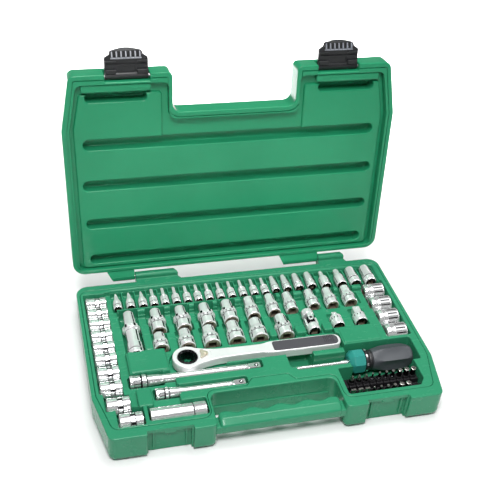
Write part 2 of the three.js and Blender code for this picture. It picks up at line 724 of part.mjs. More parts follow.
place(set, "joint_back", at(jointBack(), U_JOINT.x, 0, ROW_Z), CHROME);
place(set, "spinner_bar", at(spinner(), SPINNER.x, 0, rowZ(SPINNER.r)), CHROME);
place(set, "back_row_bits", backRow(), CHROME);
place(set, "bit_rack", bitRack(), DARK_STEEL);

const longBar = extensionBar(LONG_BAR.x1 - LONG_BAR.x0, 4.9, 7.4, 18);
place(set, "extension_long", at(longBar, LONG_BAR.x0, LONG_BAR.y, LONG_BAR.z), CHROME);
const shortBar = extensionBar(SHORT_BAR.x1 - SHORT_BAR.x0, 4.4, 6.6, 14);
place(set, "extension_short", at(shortBar, SHORT_BAR.x0, SHORT_BAR.y, SHORT_BAR.z), CHROME);
place(set, "socket_plug", at(plugSocket(), PLUG_SOCKET.x0, PLUG_SOCKET.y, PLUG_SOCKET.z), CHROME);

place(set, "wrench_body", wrenchBody(), CHROME);
place(set, "wrench_grip", wrenchGrip(), GRIP_GREY);
place(set, "wrench_ring", wrenchRing(), DARK_STEEL);
place(set, "wrench_lever", wrenchLever(), BRONZE);

const driver = [
  ["driver_handle", driverHandle(), HANDLE_GREY],
  ["driver_collar", driverCollar(), TEAL],
  ["driver_ring", driverRing(), CHROME],
  ["driver_shaft", driverShaft(), CHROME],
];
driver.forEach(([name, shape, material]) => place(set, name, at(shape, 0, DRIVER.y, DRIVER.z), material));

export default set;
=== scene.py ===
"""Looks of the socket wrench set in its open case.

Shapes are laid out in millimetres from the case's back edge (y = 0, forwards is negative) and are
turned into the row frame by ROW, or by LID for pieces of the open lid, which are laid out closed.
"""

import json
import math

import bmesh
import bpy
from mathutils import Matrix, Vector

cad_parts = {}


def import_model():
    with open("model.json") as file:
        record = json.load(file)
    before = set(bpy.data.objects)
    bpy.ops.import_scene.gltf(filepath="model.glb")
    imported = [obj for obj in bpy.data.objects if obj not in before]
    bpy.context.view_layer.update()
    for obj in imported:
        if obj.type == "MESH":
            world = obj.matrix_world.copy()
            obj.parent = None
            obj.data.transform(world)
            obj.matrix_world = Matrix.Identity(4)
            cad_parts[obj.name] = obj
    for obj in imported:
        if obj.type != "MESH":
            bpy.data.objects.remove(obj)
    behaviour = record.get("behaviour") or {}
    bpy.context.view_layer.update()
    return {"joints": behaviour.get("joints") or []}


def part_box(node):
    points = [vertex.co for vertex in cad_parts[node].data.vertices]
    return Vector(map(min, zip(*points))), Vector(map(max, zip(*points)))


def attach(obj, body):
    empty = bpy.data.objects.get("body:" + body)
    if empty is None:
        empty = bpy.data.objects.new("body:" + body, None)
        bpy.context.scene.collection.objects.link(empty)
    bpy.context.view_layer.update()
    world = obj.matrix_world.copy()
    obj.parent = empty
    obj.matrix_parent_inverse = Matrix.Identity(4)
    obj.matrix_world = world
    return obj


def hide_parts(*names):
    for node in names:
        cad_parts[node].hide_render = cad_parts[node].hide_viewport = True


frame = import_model()

# ---------------------------------------------------------------- frame
BACK = 240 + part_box("base_shell")[0].y * 1000  # the case's back edge in the row frame
ROW = Matrix.Scale(0.001, 4) @ Matrix.Translation((0, BACK, 0))
HINGE = next(j for j in frame["joints"] if j["name"] == "lid_hinge")
PIVOT = Matrix.Translation(HINGE["pos_m"])
OPEN = math.radians(min(HINGE["range_deg"]))
LID = PIVOT @ Matrix.Rotation(OPEN, 4, "X") @ PIVOT.inverted() @ ROW

RIM_Z = 34
DECK_Z = 28
LID_Z = 34.3
LID_TOP = 60.3
PANEL_Z = 39.5
LATCH_X = 117.5
HINGE_PIN = (9, 35.5)  # y and z
LATCH_PIN = (-235.5, 42)
PIN_HOLE = 1.8
N = 48  # points round a turned piece
ROUND, SQUARE, HEX = 0, 4, 6  # sections of a turned piece
BRIGHT, HOLE, EDGE, SHADE, POINT = range(5)  # places in the list of a turned piece's materials


def span(node):
    """The box of a CAD node at rest as ((x0, x1), (y0, y1), (z0, z1)) in plan millimetres."""
    lo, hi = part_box(node)
    return (
        (lo.x * 1000, hi.x * 1000),
        (lo.y * 1000 - BACK, hi.y * 1000 - BACK),
        (lo.z * 1000, hi.z * 1000),
    )


# ---------------------------------------------------------------- materials
def new_material(name):
    m = bpy.data.materials.new(name)
    m.use_nodes = True
    return m, m.node_tree.nodes, m.node_tree.links, m.node_tree.nodes["Principled BSDF"]


def fill(node, **values):
    """Sets a node's inputs. A space in an input's name is written as an underscore."""
    for name, value in values.items():
        node.inputs[name.replace("_", " ")].default_value = value


def noise_node(nodes, links, scale, detail=3, rough=0.5, stretch=None):
    coords = nodes.new("ShaderNodeTexCoord")
    n = nodes.new("ShaderNodeTexNoise")
    fill(n, Scale=scale, Detail=detail, Roughness=rough)
    if stretch:
        mapping = nodes.new("ShaderNodeMapping")
        fill(mapping, Scale=stretch)
        links.new(coords.outputs["Object"], mapping.inputs["Vector"])
        links.new(mapping.outputs["Vector"], n.inputs["Vector"])
    else:
        links.new(coords.outputs["Object"], n.inputs["Vector"])
    return n


def ranged(nodes, links, source, lo, hi):
    """Stretches the middle of a noise over lo to hi."""
    r = nodes.new("ShaderNodeMapRange")
    fill(r, From_Min=0.35, From_Max=0.65, To_Min=lo, To_Max=hi)
    links.new(source.outputs["Fac"], r.inputs["Value"])
    return r.outputs["Result"]


def tinted(nodes, links, shader, source, dark, light):
    """Varies the base colour between two colours by a noise."""
    factor = ranged(nodes, links, source, 0, 1)
    mix = nodes.new("ShaderNodeMix")
    mix.data_type = "RGBA"
    fill(mix, A=(*dark, 1), B=(*light, 1))
    links.new(factor, mix.inputs["Factor"])
    links.new(mix.outputs["Result"], shader.inputs["Base Color"])


def bumped(nodes, links, shader, layers):
    """Adds bump layers, each (noise, strength, distance in metres)."""
    normal = None
    for height, strength, distance in layers:
        b = nodes.new("ShaderNodeBump")
        fill(b, Strength=strength, Distance=distance)
        links.new(height.outputs["Fac"], b.inputs["Height"])
        if normal:
            links.new(normal, b.inputs["Normal"])
        normal = b.outputs["Normal"]
    links.new(normal, shader.inputs["Normal"])


def plastic(name, dark, light, rough, grain=2600, relief=0.12, specular=0.5):
    m, nodes, links, shader = new_material(name)
    cloudy = noise_node(nodes, links, 9, 4)
    tinted(nodes, links, shader, cloudy, dark, light)
    scuffs = noise_node(nodes, links, 60, 6, 0.65, (1, 3, 1))
    links.new(ranged(nodes, links, scuffs, *rough), shader.inputs["Roughness"])
    fine = noise_node(nodes, links, grain, 2)
    waves = noise_node(nodes, links, 45, 2)
    bumped(nodes, links, shader, [(waves, 0.1, 0.0012), (fine, relief, 0.00012)])
    fill(shader, Specular_IOR_Level=specular)
    return m


def metal(name, dark, light, rough, brushed=None, relief=0.03, scale=320, metallic=1):
    m, nodes, links, shader = new_material(name)
    fill(shader, Metallic=metallic)
    smudge = noise_node(nodes, links, 70, 4, 0.6)
    tinted(nodes, links, shader, smudge, dark, light)
    fine = noise_node(nodes, links, scale, 4, 0.6, brushed)
    links.new(ranged(nodes, links, fine, *rough), shader.inputs["Roughness"])
    bumped(nodes, links, shader, [(fine, relief, 0.0004)])
    return m


SMOOTH = {"relief": 0.06, "specular": 0.32}
GREEN = plastic("case green", (0.014, 0.224, 0.102), (0.019, 0.254, 0.118), (0.18, 0.26), **SMOOTH)
TRAY_GREEN = plastic("tray green", (0.024, 0.22, 0.112), (0.031, 0.248, 0.127), (0.2, 0.29), **SMOOTH)
BLACK = plastic("latch black", (0.008, 0.009, 0.01), (0.014, 0.015, 0.017), (0.3, 0.42), 1800, 0.2)
# light grey painted on the latch ribs and their ledge as a highlight
RIB_HIGHLIGHT = plastic("latch rib highlight", (0.2, 0.21, 0.24), (0.34, 0.35, 0.38), (0.26, 0.38), 1800, 0.15)
RACK = plastic("rack black", (0.007, 0.007, 0.008), (0.013, 0.012, 0.014), (0.22, 0.34))
GRIP = plastic("grip grey", (0.05, 0.048, 0.057), (0.064, 0.061, 0.071), (0.5, 0.62), 1500, 0.45)
HANDLE = plastic("handle grey", (0.052, 0.058, 0.066), (0.066, 0.073, 0.082), (0.38, 0.5), 1500, 0.35)
NECK = plastic("neck black", (0.01, 0.01, 0.012), (0.017, 0.017, 0.019), (0.36, 0.48))
TEAL = plastic("collar teal", (0.018, 0.215, 0.18), (0.028, 0.265, 0.225), (0.26, 0.36))
CHROME = metal("chrome", (0.88, 0.885, 0.89), (0.96, 0.965, 0.97), (0.06, 0.14), metallic=0.74)
# chrome painted lighter: a brighter, less metallic copy for pieces along Y, which miss the overhead
# highlight
LIT_CHROME = metal("chrome with painted light", (0.91, 0.915, 0.92), (0.975, 0.977, 0.98), (0.08, 0.16), metallic=0.5)
# a still lighter, less metallic copy of the chrome: painted light on the wrench's body
LIT_WRENCH_CHROME = metal("wrench chrome with painted light", (0.9, 0.905, 0.91), (0.97, 0.972, 0.975), (0.1, 0.18), metallic=0.34)
SATIN = metal(
    "satin chrome", (0.62, 0.63, 0.64), (0.76, 0.77, 0.78), (0.22, 0.36), (1, 1, 1), 0.1, 900, 0.6
)
STEEL = metal("pin steel", (0.5, 0.5, 0.52), (0.62, 0.62, 0.64), (0.24, 0.36), (12, 1, 1), 0.08)
# dark metal of the joint cross and ratchet ring, also the painted shade on the chrome pieces
DARK_AND_SHADE = metal("dark steel and painted shade", (0.02, 0.02, 0.022), (0.038, 0.037, 0.04), (0.22, 0.34), None, 0.08)
BORE = metal("bore steel", (0.24, 0.2, 0.145), (0.36, 0.31, 0.235), (0.34, 0.5), None, 0.08, metallic=0.5)
BRONZE = metal("lever bronze", (0.62, 0.55, 0.42), (0.74, 0.67, 0.54), (0.16, 0.28), metallic=0.5)
TIP = metal("bright tip", (0.6, 0.58, 0.54), (0.74, 0.72, 0.68), (0.2, 0.32))


# ---------------------------------------------------------------- outlines
def outline(corners, inset=0, steps=5):
    """Points of a counter-clockwise outline of (x, y, radius) corners, moved inwards by inset."""
    at = [Vector(c[:2]) for c in corners]
    sides = []
    for i, a in enumerate(at):
        d = (at[(i + 1) % len(at)] - a).normalized()
        sides.append((a + Vector((-d.y, d.x)) * inset, d))
    points = []
    for i, (_, _, radius) in enumerate(corners):
        (p, d0), (q, d1) = sides[i - 1], sides[i]
        cross = d0.x * d1.y - d0.y * d1.x
        along = ((q - p).x * d1.y - (q - p).y * d1.x) / cross
        corner = p + d0 * along
        turn = math.atan2(cross, d0.dot(d1))
        side = 1 if turn > 0 else -1
        r = max(radius - side * inset, 0.05)
        start = corner - d0 * r * math.tan(abs(turn) / 2)
        centre = start + Vector((-d0.y, d0.x)) * r * side
        arm = start - centre
        for k in range(steps + 1):
            points.append(centre + Matrix.Rotation(turn * k / steps, 2) @ arm)
    return points


def box_corners(x0, x1, y0, y1, r):
    r = min(r, (x1 - x0) / 2 - 0.02, (y1 - y0) / 2 - 0.02)
    return [(x0, y0, r), (x1, y0, r), (x1, y1, r), (x0, y1, r)]


def shrink(points, inset):
    """A dense smooth outline moved inwards by inset."""
    moved = []
    for i, p in enumerate(points):
        d = (points[(i + 1) % len(points)] - points[i - 1]).normalized()
        moved.append(p + Vector((-d.y, d.x)) * inset)
    return moved


def smoothed(points, rounds=2):
    """Cuts the corners of a closed outline, again and again."""
    pts = [Vector(p) for p in points]
    for _ in range(rounds):
        pairs = list(zip(pts, pts[1:] + pts[:1]))
        pts = [p.lerp(q, share) for p, q in pairs for share in (0.25, 0.75)]
    return pts


# ---------------------------------------------------------------- solids
# striped bands of turned pieces: how many faces make a group, and which of a group are painted dark:
# painted shade in knurls, flutes and groove lines, and painted reflection streaks along the flanks (FLANK)
STRIPES = {-1: (4, (0,)), -2: (8, (2, 3)), -3: (4, (2,)), -4: (48, (4, 5, 39))}
FINE, WIDE, LINES, FLANK = STRIPES


def placed(u, v, along, axis):
    """A point of a ring at its place along an axis."""
    return {"x": (along, u, v), "y": (v, along, u), "z": (u, v, along)}[axis]


def stack(rings, materials=None, axis="z"):
    """A closed solid through rings of points, each (points, height). Returns a bmesh."""
    bm = bmesh.new()
    loops = [[bm.verts.new(placed(p[0], p[1], h, axis)) for p in pts] for pts, h in rings]
    count = len(loops[0])
    for k, (lo, hi) in enumerate(zip(loops, loops[1:])):
        for i in range(count):
            j = (i + 1) % count
            f = bm.faces.new((lo[i], lo[j], hi[j], hi[i]))
            m = materials[k + 1] if materials else 0
            # a striped band paints chosen faces dark: painted shade, and on flanks painted reflection
            if m in STRIPES:
                every, dark = STRIPES[m]
                m = SHADE if i % every in dark else BRIGHT
            f.material_index = m
    first = bm.faces.new(list(reversed(loops[0])))
    last = bm.faces.new(loops[-1])
    if materials:
        first.material_index, last.material_index = materials[0], materials[-1]
    return bm


def quarter(r, steps=3):
    """Steps round a quarter circle: (distance in from the side, distance up)."""
    angles = [math.pi / 2 * k / steps for k in range(steps + 1)]
    return [(r * (1 - math.cos(a)), r * math.sin(a)) for a in angles]


def slab(corners, z0, z1, top=1, bottom=0.3, inset=0, steps=5):
    """A block of an outline (corners, or a function of the inset) with rounded top and bottom edges."""
    ring = corners if callable(corners) else lambda d: outline(corners, d, steps)
    rings = [(ring(inset + i), z0 + bottom - u) for i, u in reversed(quarter(bottom))]
    rings += [(ring(inset + i), z1 - top + u) for i, u in quarter(top)]
    return stack(rings)


def hollow(corners, floor, deck, lip=1, foot=1, steps=4, above=14):
    """A cutter for a pocket: rounded foot at its floor and a lip that flares out at the deck."""
    ring = corners if callable(corners) else lambda d: outline(corners, d, steps)
    rings = [(ring(i), floor + foot - u) for i, u in reversed(quarter(foot))]
    rings += [(ring(-i), deck - lip + u) for i, u in quarter(lip)]
    rings.append((ring(-lip - 0.05), deck + above))
    return stack(rings)


def pocket(x0, x1, y0, y1, floor, deck=RIM_Z, r=2, lip=1, foot=1, **more):
    return hollow(box_corners(x0, x1, y0, y1, r), floor, deck, lip, foot, **more)


def block(x0, x1, y0, y1, z0, z1, r, top=1, bottom=0.1):
    """A box with upright edges of radius r, and rounded edges above and below."""
    return slab(box_corners(x0, x1, y0, y1, r), z0, z1, top, bottom)


def profile_along_x(corners, x0, x1, edge=0.8, steps=4):
    """A bar along X of a counter-clockwise outline of (y, z, radius) corners, with rounded ends."""
    rings = [(outline(corners, i, steps), x0 + edge - u) for i, u in reversed(quarter(edge))]
    rings += [(outline(corners, i, steps), x1 - edge + u) for i, u in quarter(edge)]
    return stack(rings, axis="x")


def added(name, data):
    """A new object in the scene."""
    o = bpy.data.objects.new(name, data)
    bpy.context.scene.collection.objects.link(o)
    return o


def to_mesh(bm, name="shape"):
    bmesh.ops.recalc_face_normals(bm, faces=bm.faces)
    mesh = bpy.data.meshes.new(name)
    bm.to_mesh(mesh)
    bm.free()
    return mesh


class Steps(list):
    """Boolean steps, in order, for combine."""

    def add(self, bm):
        self.append(("add", bm))

    def cut(self, bm):
        self.append(("cut", bm))


def combine(base, steps):
    """Applies boolean steps, each ("add", "cut" or "keep", bmesh), to a bmesh and returns a new one."""
    kinds = {"add": "UNION", "cut": "DIFFERENCE", "keep": "INTERSECT"}
    host = added("host", to_mesh(base))
    tools = []
    for kind, bm in steps:
        tools.append(added("tool", to_mesh(bm)))
        boolean = host.modifiers.new("step", "BOOLEAN")
        boolean.operation, boolean.solver, boolean.object = kinds[kind], "MANIFOLD", tools[-1]
    graph = bpy.context.evaluated_depsgraph_get()
    mesh = bpy.data.meshes.new_from_object(host.evaluated_get(graph))
    result = bmesh.new()
    result.from_mesh(mesh)
    for o in [host, *tools]:
        old = o.data
        bpy.data.objects.remove(o)
        bpy.data.meshes.remove(old)
    bpy.data.meshes.remove(mesh)
    bmesh.ops.remove_doubles(result, verts=result.verts, dist=0.004)
    bmesh.ops.dissolve_degenerate(result, edges=result.edges, dist=0.002)
    return result


def piece(name, bm, body, materials, matrix=ROW, replaces=(), sharp=32, soften=0):
    """Turns a bmesh in plan millimetres into a finished piece that rides on a body."""
    bm.transform(matrix)
    mesh = to_mesh(bm, name)
    for m in materials if isinstance(materials, list) else [materials]:
        mesh.materials.append(m)
    mesh.shade_smooth()
    if not soften:
        mesh.set_sharp_from_angle(angle=math.radians(sharp))
    o = added(name, mesh)
    if soften:
        bevel = o.modifiers.new("soft edges", "BEVEL")
        bevel.width, bevel.segments = soften / 1000, 2
        bevel.limit_method, bevel.angle_limit = "ANGLE", math.radians(28)
        bevel.harden_normals = False
    shading = o.modifiers.new("even shading", "WEIGHTED_NORMAL")
    shading.keep_sharp, shading.weight = True, 60
    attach(o, body)
    if replaces:
        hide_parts(*replaces)


def tool(node, bm, body, materials=None, sharp=40):
    """A piece that stands for one CAD node of the tools."""
    piece("tool_" + node, bm, body, materials or METALS, replaces=[node], sharp=sharp)


def section(r, kind=ROUND):
    """Points of a cross-section: round, square, hexagon or a named pattern."""
    points = []
    for i in range(N):
        t = 2 * math.pi * i / N

        def flat(n, turn=0):
            w = 2 * math.pi / n
            return math.cos(math.pi / n) / math.cos((t + turn) % w - w / 2)

        d = r
        if kind == SQUARE:
            d = r * flat(4, math.pi / 4)
        elif kind == HEX:
            d = r * flat(6)
        elif kind == "faceted":
            d = r * (1 - 0.5 * (1 - flat(6)))
        elif kind == "knurl":
            d = r - (0.32 if i % 2 else 0)
        elif kind == "lines":
            d = r - (0.4 if i % 4 in (2, 3) else 0)
        elif kind == "flutes":
            d = r * (1 - 0.09 * max(0, math.cos(6 * t)) ** 2)
        elif kind == "blade":
            d = min(r, 0.42 * r / max(abs(math.sin(t)), 1e-6))
        elif kind == "cross":
            d = r * (1 - 0.32 * (0.5 + 0.5 * math.cos(4 * t)) ** 0.6)
        points.append((d * math.cos(t), d * math.sin(t)))
    return points


def spun(rings, axis, x=0, y=0, z=0):
    """A turned solid. Each ring is (distance along, radius), then its section and the material of the
    faces that lead to it where these aren't round and bright."""
    whole = [(*ring, 0, 0)[:4] for ring in rings]  # 0 is both ROUND and BRIGHT
    bm = stack([(section(r, kind), a) for a, r, kind, _ in whole], [m for *_, m in whole], axis)
    bm.transform(Matrix.Translation((x, y, z)))
    return bm


def ball(radius, x, y, z, segments, rings):
    """The visible dome of a spring ball."""
    bm = bmesh.new()
    bmesh.ops.create_uvsphere(bm, u_segments=segments, v_segments=rings, radius=radius)
    bm.transform(Matrix.Translation((x, y, z)))
    return bm


def shaded(along, r):
    """A round ring that faces painted dark as shade lead to."""
    return along, r, ROUND, SHADE


def groove(start, end, r):
    """The rings of a groove round a turned piece, painted dark as shade."""
    return [shaded(start, r), shaded(end, r)]


def drive_end(start, depth, hole, mouth, radii, lip=0.5, shoulder=1.2, chamfer=0.9, faces=(SHADE, SHADE)):
    """The rings of an end with a square drive hole, from the hole's bottom out and over the rim.
    faces are the materials of the hole's chamfer and of the flat end, by default painted shade."""
    return [
        (start + depth, hole, SQUARE, HOLE),
        (start + chamfer, hole, SQUARE, HOLE),
        (start, mouth, SQUARE, faces[0]),
        (start, radii[0], ROUND, faces[1]),
        (start + lip, radii[1]),
        (start + shoulder, radii[2]),
    ]


def merged(*parts):
    """Separate closed solids as one bmesh."""
    whole = bmesh.new()
    for bm in parts:
        mesh = to_mesh(bm)
        whole.from_mesh(mesh)
        bpy.data.meshes.remove(mesh)
    return whole


# ---------------------------------------------------------------- case
def mirrored(left):
    """An outline from its corners with x below 0, listed from the back to the front."""
    return left + [(-x, y, r) for x, y, r in reversed(left)]


OUTLINE = mirrored([(-189, 0, 14), (-190, -180, 20), (-179, -240, 8), (-69.5, -240, 6), (-69.5, -195, 9)])
TRAY_LINE = [
    (-185.5, -9, 10), (-185.5, -178, 14), (-174, -227.5, 9), (-72, -227.5, 10), (-72, -190.5, 9),
    (-27, -190.5, 3), (-20, -181, 4), (20, -181, 4), (27, -190.5, 3), (72, -190.5, 9),
    (72, -227, 10), (173, -227, 9), (185.5, -178, 14), (185.5, -9, 10),
]


def bay(x0, x1, z0, z1, floor, face=-240, lip=1.5):
    """A cutter for a recess in a front wall, with a rounded foot and a lip that flares at the face."""
    foot = 0.8
    corners = [(z0, x0, 1), (z1, x0, 1), (z1, x1, 1), (z0, x1, 1)]
    rings = [(outline(corners, i, 3), floor - foot + u) for i, u in reversed(quarter(foot))]
    rings += [(outline(corners, -i, 3), face + lip - u) for i, u in quarter(lip)]
    rings.append((outline(corners, -lip - 0.05, 3), face - 20))
    return stack(rings, axis="y")


def handle_bar():
    """The carrying handle: a round-ended bar, waved on its inner side for the fingers."""

    def ring(x, inset):
        wave = -219.7 + 2 * math.cos(x / 30 * 2 * math.pi) * min(1, (66 - abs(x)) / 12)
        inner = [(-237.8, 19, 3), (-235, 16.2, 2), (wave, 16.2, 2.5), (wave, 31.8, 4)]
        return outline(inner + [(-230, 31.8, 5.5), (-237.8, 27.5, 3.5)], inset, 5), x

    rings = [ring(-66 + 4 - u, i) for i, u in reversed(quarter(4, 5))]
    rings += [ring(-62 + 124 * k / 60, 0) for k in range(1, 60)]
    rings += [ring(62 + u, i) for i, u in quarter(4, 5)]
    return stack(rings, axis="x")


def knuckle(profile, x0, x1, plan):
    """A hinge knuckle: a rounded bar along X, trimmed to a tapering plan."""
    return combine(profile_along_x(profile, x0, x1, 1.2), [("keep", slab(plan, -5, 90, 0.1, 0.1))])


def pin_hole(x0, x1, place):
    return spun([(x0, PIN_HOLE), (x1, PIN_HOLE)], "x", 0, *place)


def base_shell():
    body = slab(OUTLINE, 0, RIM_Z, top=1.4, bottom=7, steps=8)
    steps = Steps([("cut", hollow(TRAY_LINE, 3, RIM_Z, lip=0.9, foot=1, steps=6))])
    for side in (-1, 1):
        x = side * LATCH_X
        steps.cut(bay(x - 24, x + 24, -20, 60, -234.5))
        steps.cut(bay(x - 24 + 1.6, x + 24 - 1.6, -20, 29.5, -231, -234.5, 0.4))
        steps.add(block(x - 6, x + 6, -234.5, -230.5, 26.5, 30, 0.8, 0.3, 0.6))
        for rib in (x - 17, x + 17):
            steps.add(block(rib - 0.8, rib + 0.8, -233.2, -230.5, 4, 29.8, 0.3, 0.3, 0.3))
    # the carrying handle's core, and a plinth at the back of the hand hole
    steps.add(block(-72, 72, -236.8, -221.5, 15.5, 26, 2, 1.5, 1.5))
    steps.add(block(-69, 69, -196.6, -185, 0.1, 13, 1, 0.8, 0.2))
    steps.add(handle_bar())
    ear = [(3.5, 12, 1.5), (13.5, 29, 3), (13.5, 38, 2.2), (11.6, 40, 2), (6.4, 40, 2), (4.5, 38, 1.5)]
    ear += [(4.5, 33.6, 1), (-1, 33.6, 0.4), (-1, 12, 0.4)]
    left = [(-117, -3, 0.5), (-61, -3, 0.5), (-72.5, 15, 2), (-117, 15, 0.5)]
    right = [(113.5, -3, 0.5), (151, -3, 0.5), (142, 15, 2), (113.5, 15, 0.5)]
    steps.add(knuckle(ear, -117, -60, left))
    steps.add(knuckle(ear, 113.5, 152, right))
    # the underside: a stacking recess with five shallow panels
    steps.cut(block(-165, 165, -178, -22, -5, 0.9, 10, 0.6, 0.1))
    for x in (-150, -75, 0, 75, 150):
        steps.cut(block(x - 22, x + 22, -165, -35, -5, 1.8, 6, 0.6, 0.1))
    steps.cut(pin_hole(-200, 200, HINGE_PIN))
    return combine(body, steps)


SECOND = [f"socket_second_{i + 1}" for i in range(10)]
THIRD = [f"socket_third_{i + 1}" for i in range(6)]
LEFT = [f"socket_left_{i + 1}" for i in range(10)]
RIGHT = [f"socket_right_{i + 1}" for i in range(4)]
# the back row's places along X
TIP_X = [-144.5, -129.5, -115, -102, -89, -75.5, -62, -49, -36, -22, -8.5, 5.5, 19.5, 33]
CONE_X = [46.5, 61, 76, 92]
STUB_X = [110, 130]
PLAIN_X = [148, 167.5]
# the wrench: the middle of its head, and the heights of its flat sides
WX, WY, W_LOW, W_TOP = -81.7, -138.8, 24.5, 36


def cradle(node, reach, ends=(2, 1.5)):
    """A pocket with a round bottom under a piece that lies along Y."""
    (x0, x1), (y0, y1), (z0, _) = span(node)
    x, r = (x0 + x1) / 2, (x1 - x0) / 2 + reach
    return pocket(x - r, x + r, y0 - ends[0], y1 + ends[1], z0 - 0.6, RIM_Z, 1.6, 0.9, min(r * 0.8, 5.5))


def side_pockets():
    """Cutters for the columns at the tray's left and right ends."""
    stepped = [(-181.8, -177, 2), (-178, -177, 0.5), (-178, -201.5, 1), (-168, -201.5, 0.5)]
    stepped += [(-168, -225, 2), (-140, -225, 2), (-140, -200, 1), (-151, -200, 0.5)]
    stepped += [(-151, -176.5, 1), (-156, -176.5, 0.5), (-156, -16, 2), (-181.8, -16, 2)]
    return [
        hollow(stepped, 14.2, RIM_Z, 0.8, 0.8),
        pocket(151, 180.5, -143.5, -43, 12, r=2.5, foot=3),
        pocket(-157.5, -146.6, -199, -14.5, DECK_Z, r=1.5, lip=1, foot=0.8),
    ]


def deck_cuts():
    """The sunken deck between the rows, behind the wrench and round the bars' heads. What is left
    between it and the back row's trough is the bar that the second row's noses rest on."""
    cuts = [pocket(-148, 151.5, -118, -53.4, DECK_Z, r=1.5, lip=2.4, foot=1.2)]
    for x0, x1, y0, y1 in (
        (-103.6, 93, -130, -116),
        (-103.6, -58, -156, -120),
        (-149.5, -100, -199.5, -153.5),
    ):
        cuts.append(pocket(x0, x1, y0, y1, DECK_Z, r=1.5, lip=1.2, foot=0.8))
    return cuts


def back_row_pockets():
    """A trough with a thin rib between neighbours."""
    cuts = [pocket(-151.5, 178.5, -46.4, -13, 30.2, r=3, lip=2.4, foot=0.4)]
    xs = TIP_X + CONE_X + STUB_X + PLAIN_X
    edges = [-151.3] + [(a + b) / 2 for a, b in zip(xs, xs[1:])] + [178.3]
    for a, b in zip(edges, edges[1:]):
        cuts.append(pocket(a + 0.75, b - 0.75, -45.9, -13.4, 23.3, 30.2, 1.5, 0.5, 2.2, above=8))
    return cuts


def row_pockets():
    """The finger trough across the second row, and a cradle under each piece that lies along Y."""
    cuts = [pocket(-146, 144, -75.7, -54.6, 23.5, DECK_Z, 2, 1, 1.5)]
    cuts += [cradle(n, 1.5) for n in SECOND]
    cuts += [cradle(n, 1.4, (2.2, 3)) for n in THIRD]
    cuts += [cradle(n, 1.5, (2.5, 2)) for n in ("adapter_1", "adapter_2")]
    cuts.append(cradle("spinner_bar", 1.4, (1.5, 2)))
    cuts.append(pocket(62.2, 80.8, -120, -79.5, 21.8, r=2, foot=5))
    return cuts


def wrench_pockets():
    def head(inset):
        angles = [math.pi * 2 * k / 64 for k in range(64)]
        r = 20 - inset
        return [Vector((WX + r * math.cos(a), WY + r * math.sin(a))) for a in angles]

    return [
        hollow(head, 22, RIM_Z, 1, 2),
        pocket(-78, -40, -154.8, -126.3, 23, r=4),
        pocket(-60, 10, -151.8, -128.8, 23, r=2),
        pocket(6, 96.5, -151.8, -126.8, 23, r=4),
        pocket(27, 57.5, -173, -140, 10, r=3, lip=1.4, foot=2.5),
    ]


def front_pockets():
    """Pockets of the two bars, the spark plug socket, the driver and the bit rack."""
    rack_line = [(77.5, -222, 3), (160, -222, 3), (166.5, -213, 4), (166.5, -183, 2), (77.5, -183, 2)]
    return [
        pocket(-150, -111, -169.5, -152.5, 19.5, r=2.5, foot=4),
        pocket(-114, -2.5, -166.5, -154, 19.5, r=3, foot=4),
        pocket(-126.5, -98, -190, -174.5, 19.5, r=2.5, foot=4),
        pocket(-104, -24.5, -187.2, -176.4, 19.5, r=3, foot=4),
        pocket(-136, -74, -221.5, -199, 15.5, r=2.5, foot=5),
        pocket(94, 176, -183.5, -147.5, 5, r=3, lip=1.4, foot=6),
        pocket(33, 97, -177, -159.5, 17, r=2, lip=1.4, foot=3),
        hollow(rack_line, 7, RIM_Z, 1.2, 1.5),
    ]


def islands():
    """Raised pads on the deck."""
    pads = [
        block(-143.9, -128.6, -200.6, -174.6, 20, RIM_Z, 2, 1.6),
        block(-145.6, -104, -152.6, -119.4, 20, 35, 2.5, 1.8),
        block(97.6, 143, -146.5, -119.5, 30, 35.2, 2.5, 1.8),
        block(138, 150.6, -124, -93.2, 20, 34.6, 2.5, 1.6),
        block(58.9, 92, -158.6, -153.2, 30, 34.3, 1.5, 0.9),
        block(-124.3, -114.9, -119, -77.2, 20, RIM_Z, 2.5, 1.6),
    ]
    third = [span(n)[0] for n in THIRD]
    for x0, x1 in ((third[4][1], third[5][0]), (third[5][1], 62.7), (80.3, 94.8)):
        pads.append(block(x0 + 1.7, x1 - 1.7, -120.8, -107.2, 20, RIM_Z, 2.2, 1.6))
    return pads


def tray():
    body = slab(TRAY_LINE, 3.3, RIM_Z, top=0.9, bottom=0.5, inset=0.3, steps=6)
    cuts = side_pockets() + deck_cuts() + back_row_pockets() + row_pockets()
    cuts += wrench_pockets() + front_pockets()
    return combine(body, [("cut", c) for c in cuts] + [("add", pad) for pad in islands()])


LINER = mirrored([(-181, -4.5, 8), (-181.5, -179, 12), (-172, -229, 7), (-73.5, -229, 7), (-73.5, -187, 8)])
PANEL = mirrored(
    [(-176.6, -5.4, 5), (-177.4, -178.3, 9), (-169.5, -217.5, 4), (-80.5, -217.5, 4), (-80.5, -164, 0.5)]
)
CHANNELS = [(-22.5, -10.5, 168), (-69, -57, 170), (-117.5, -105, 171), (-166.5, -154, 168)]


def flipped(bm):
    """Mirrors a shape about the lid's rim height, so that slab and hollow can be used looking down."""
    bm.transform(Matrix.Translation((0, 0, 2 * LID_Z)) @ Matrix.Scale(-1, 4, (0, 0, 1)))
    return bm


def down(z):
    return 2 * LID_Z - z


def rim_groove():
    """A cutter for the groove all round the lid's rim."""
    inner = slab(OUTLINE, 10, 50, 0.1, 0.1, 6, 8)
    return combine(slab(OUTLINE, 20, LID_Z + 1.7, 0.1, 0.1, 4.9, 8), [("cut", inner)])


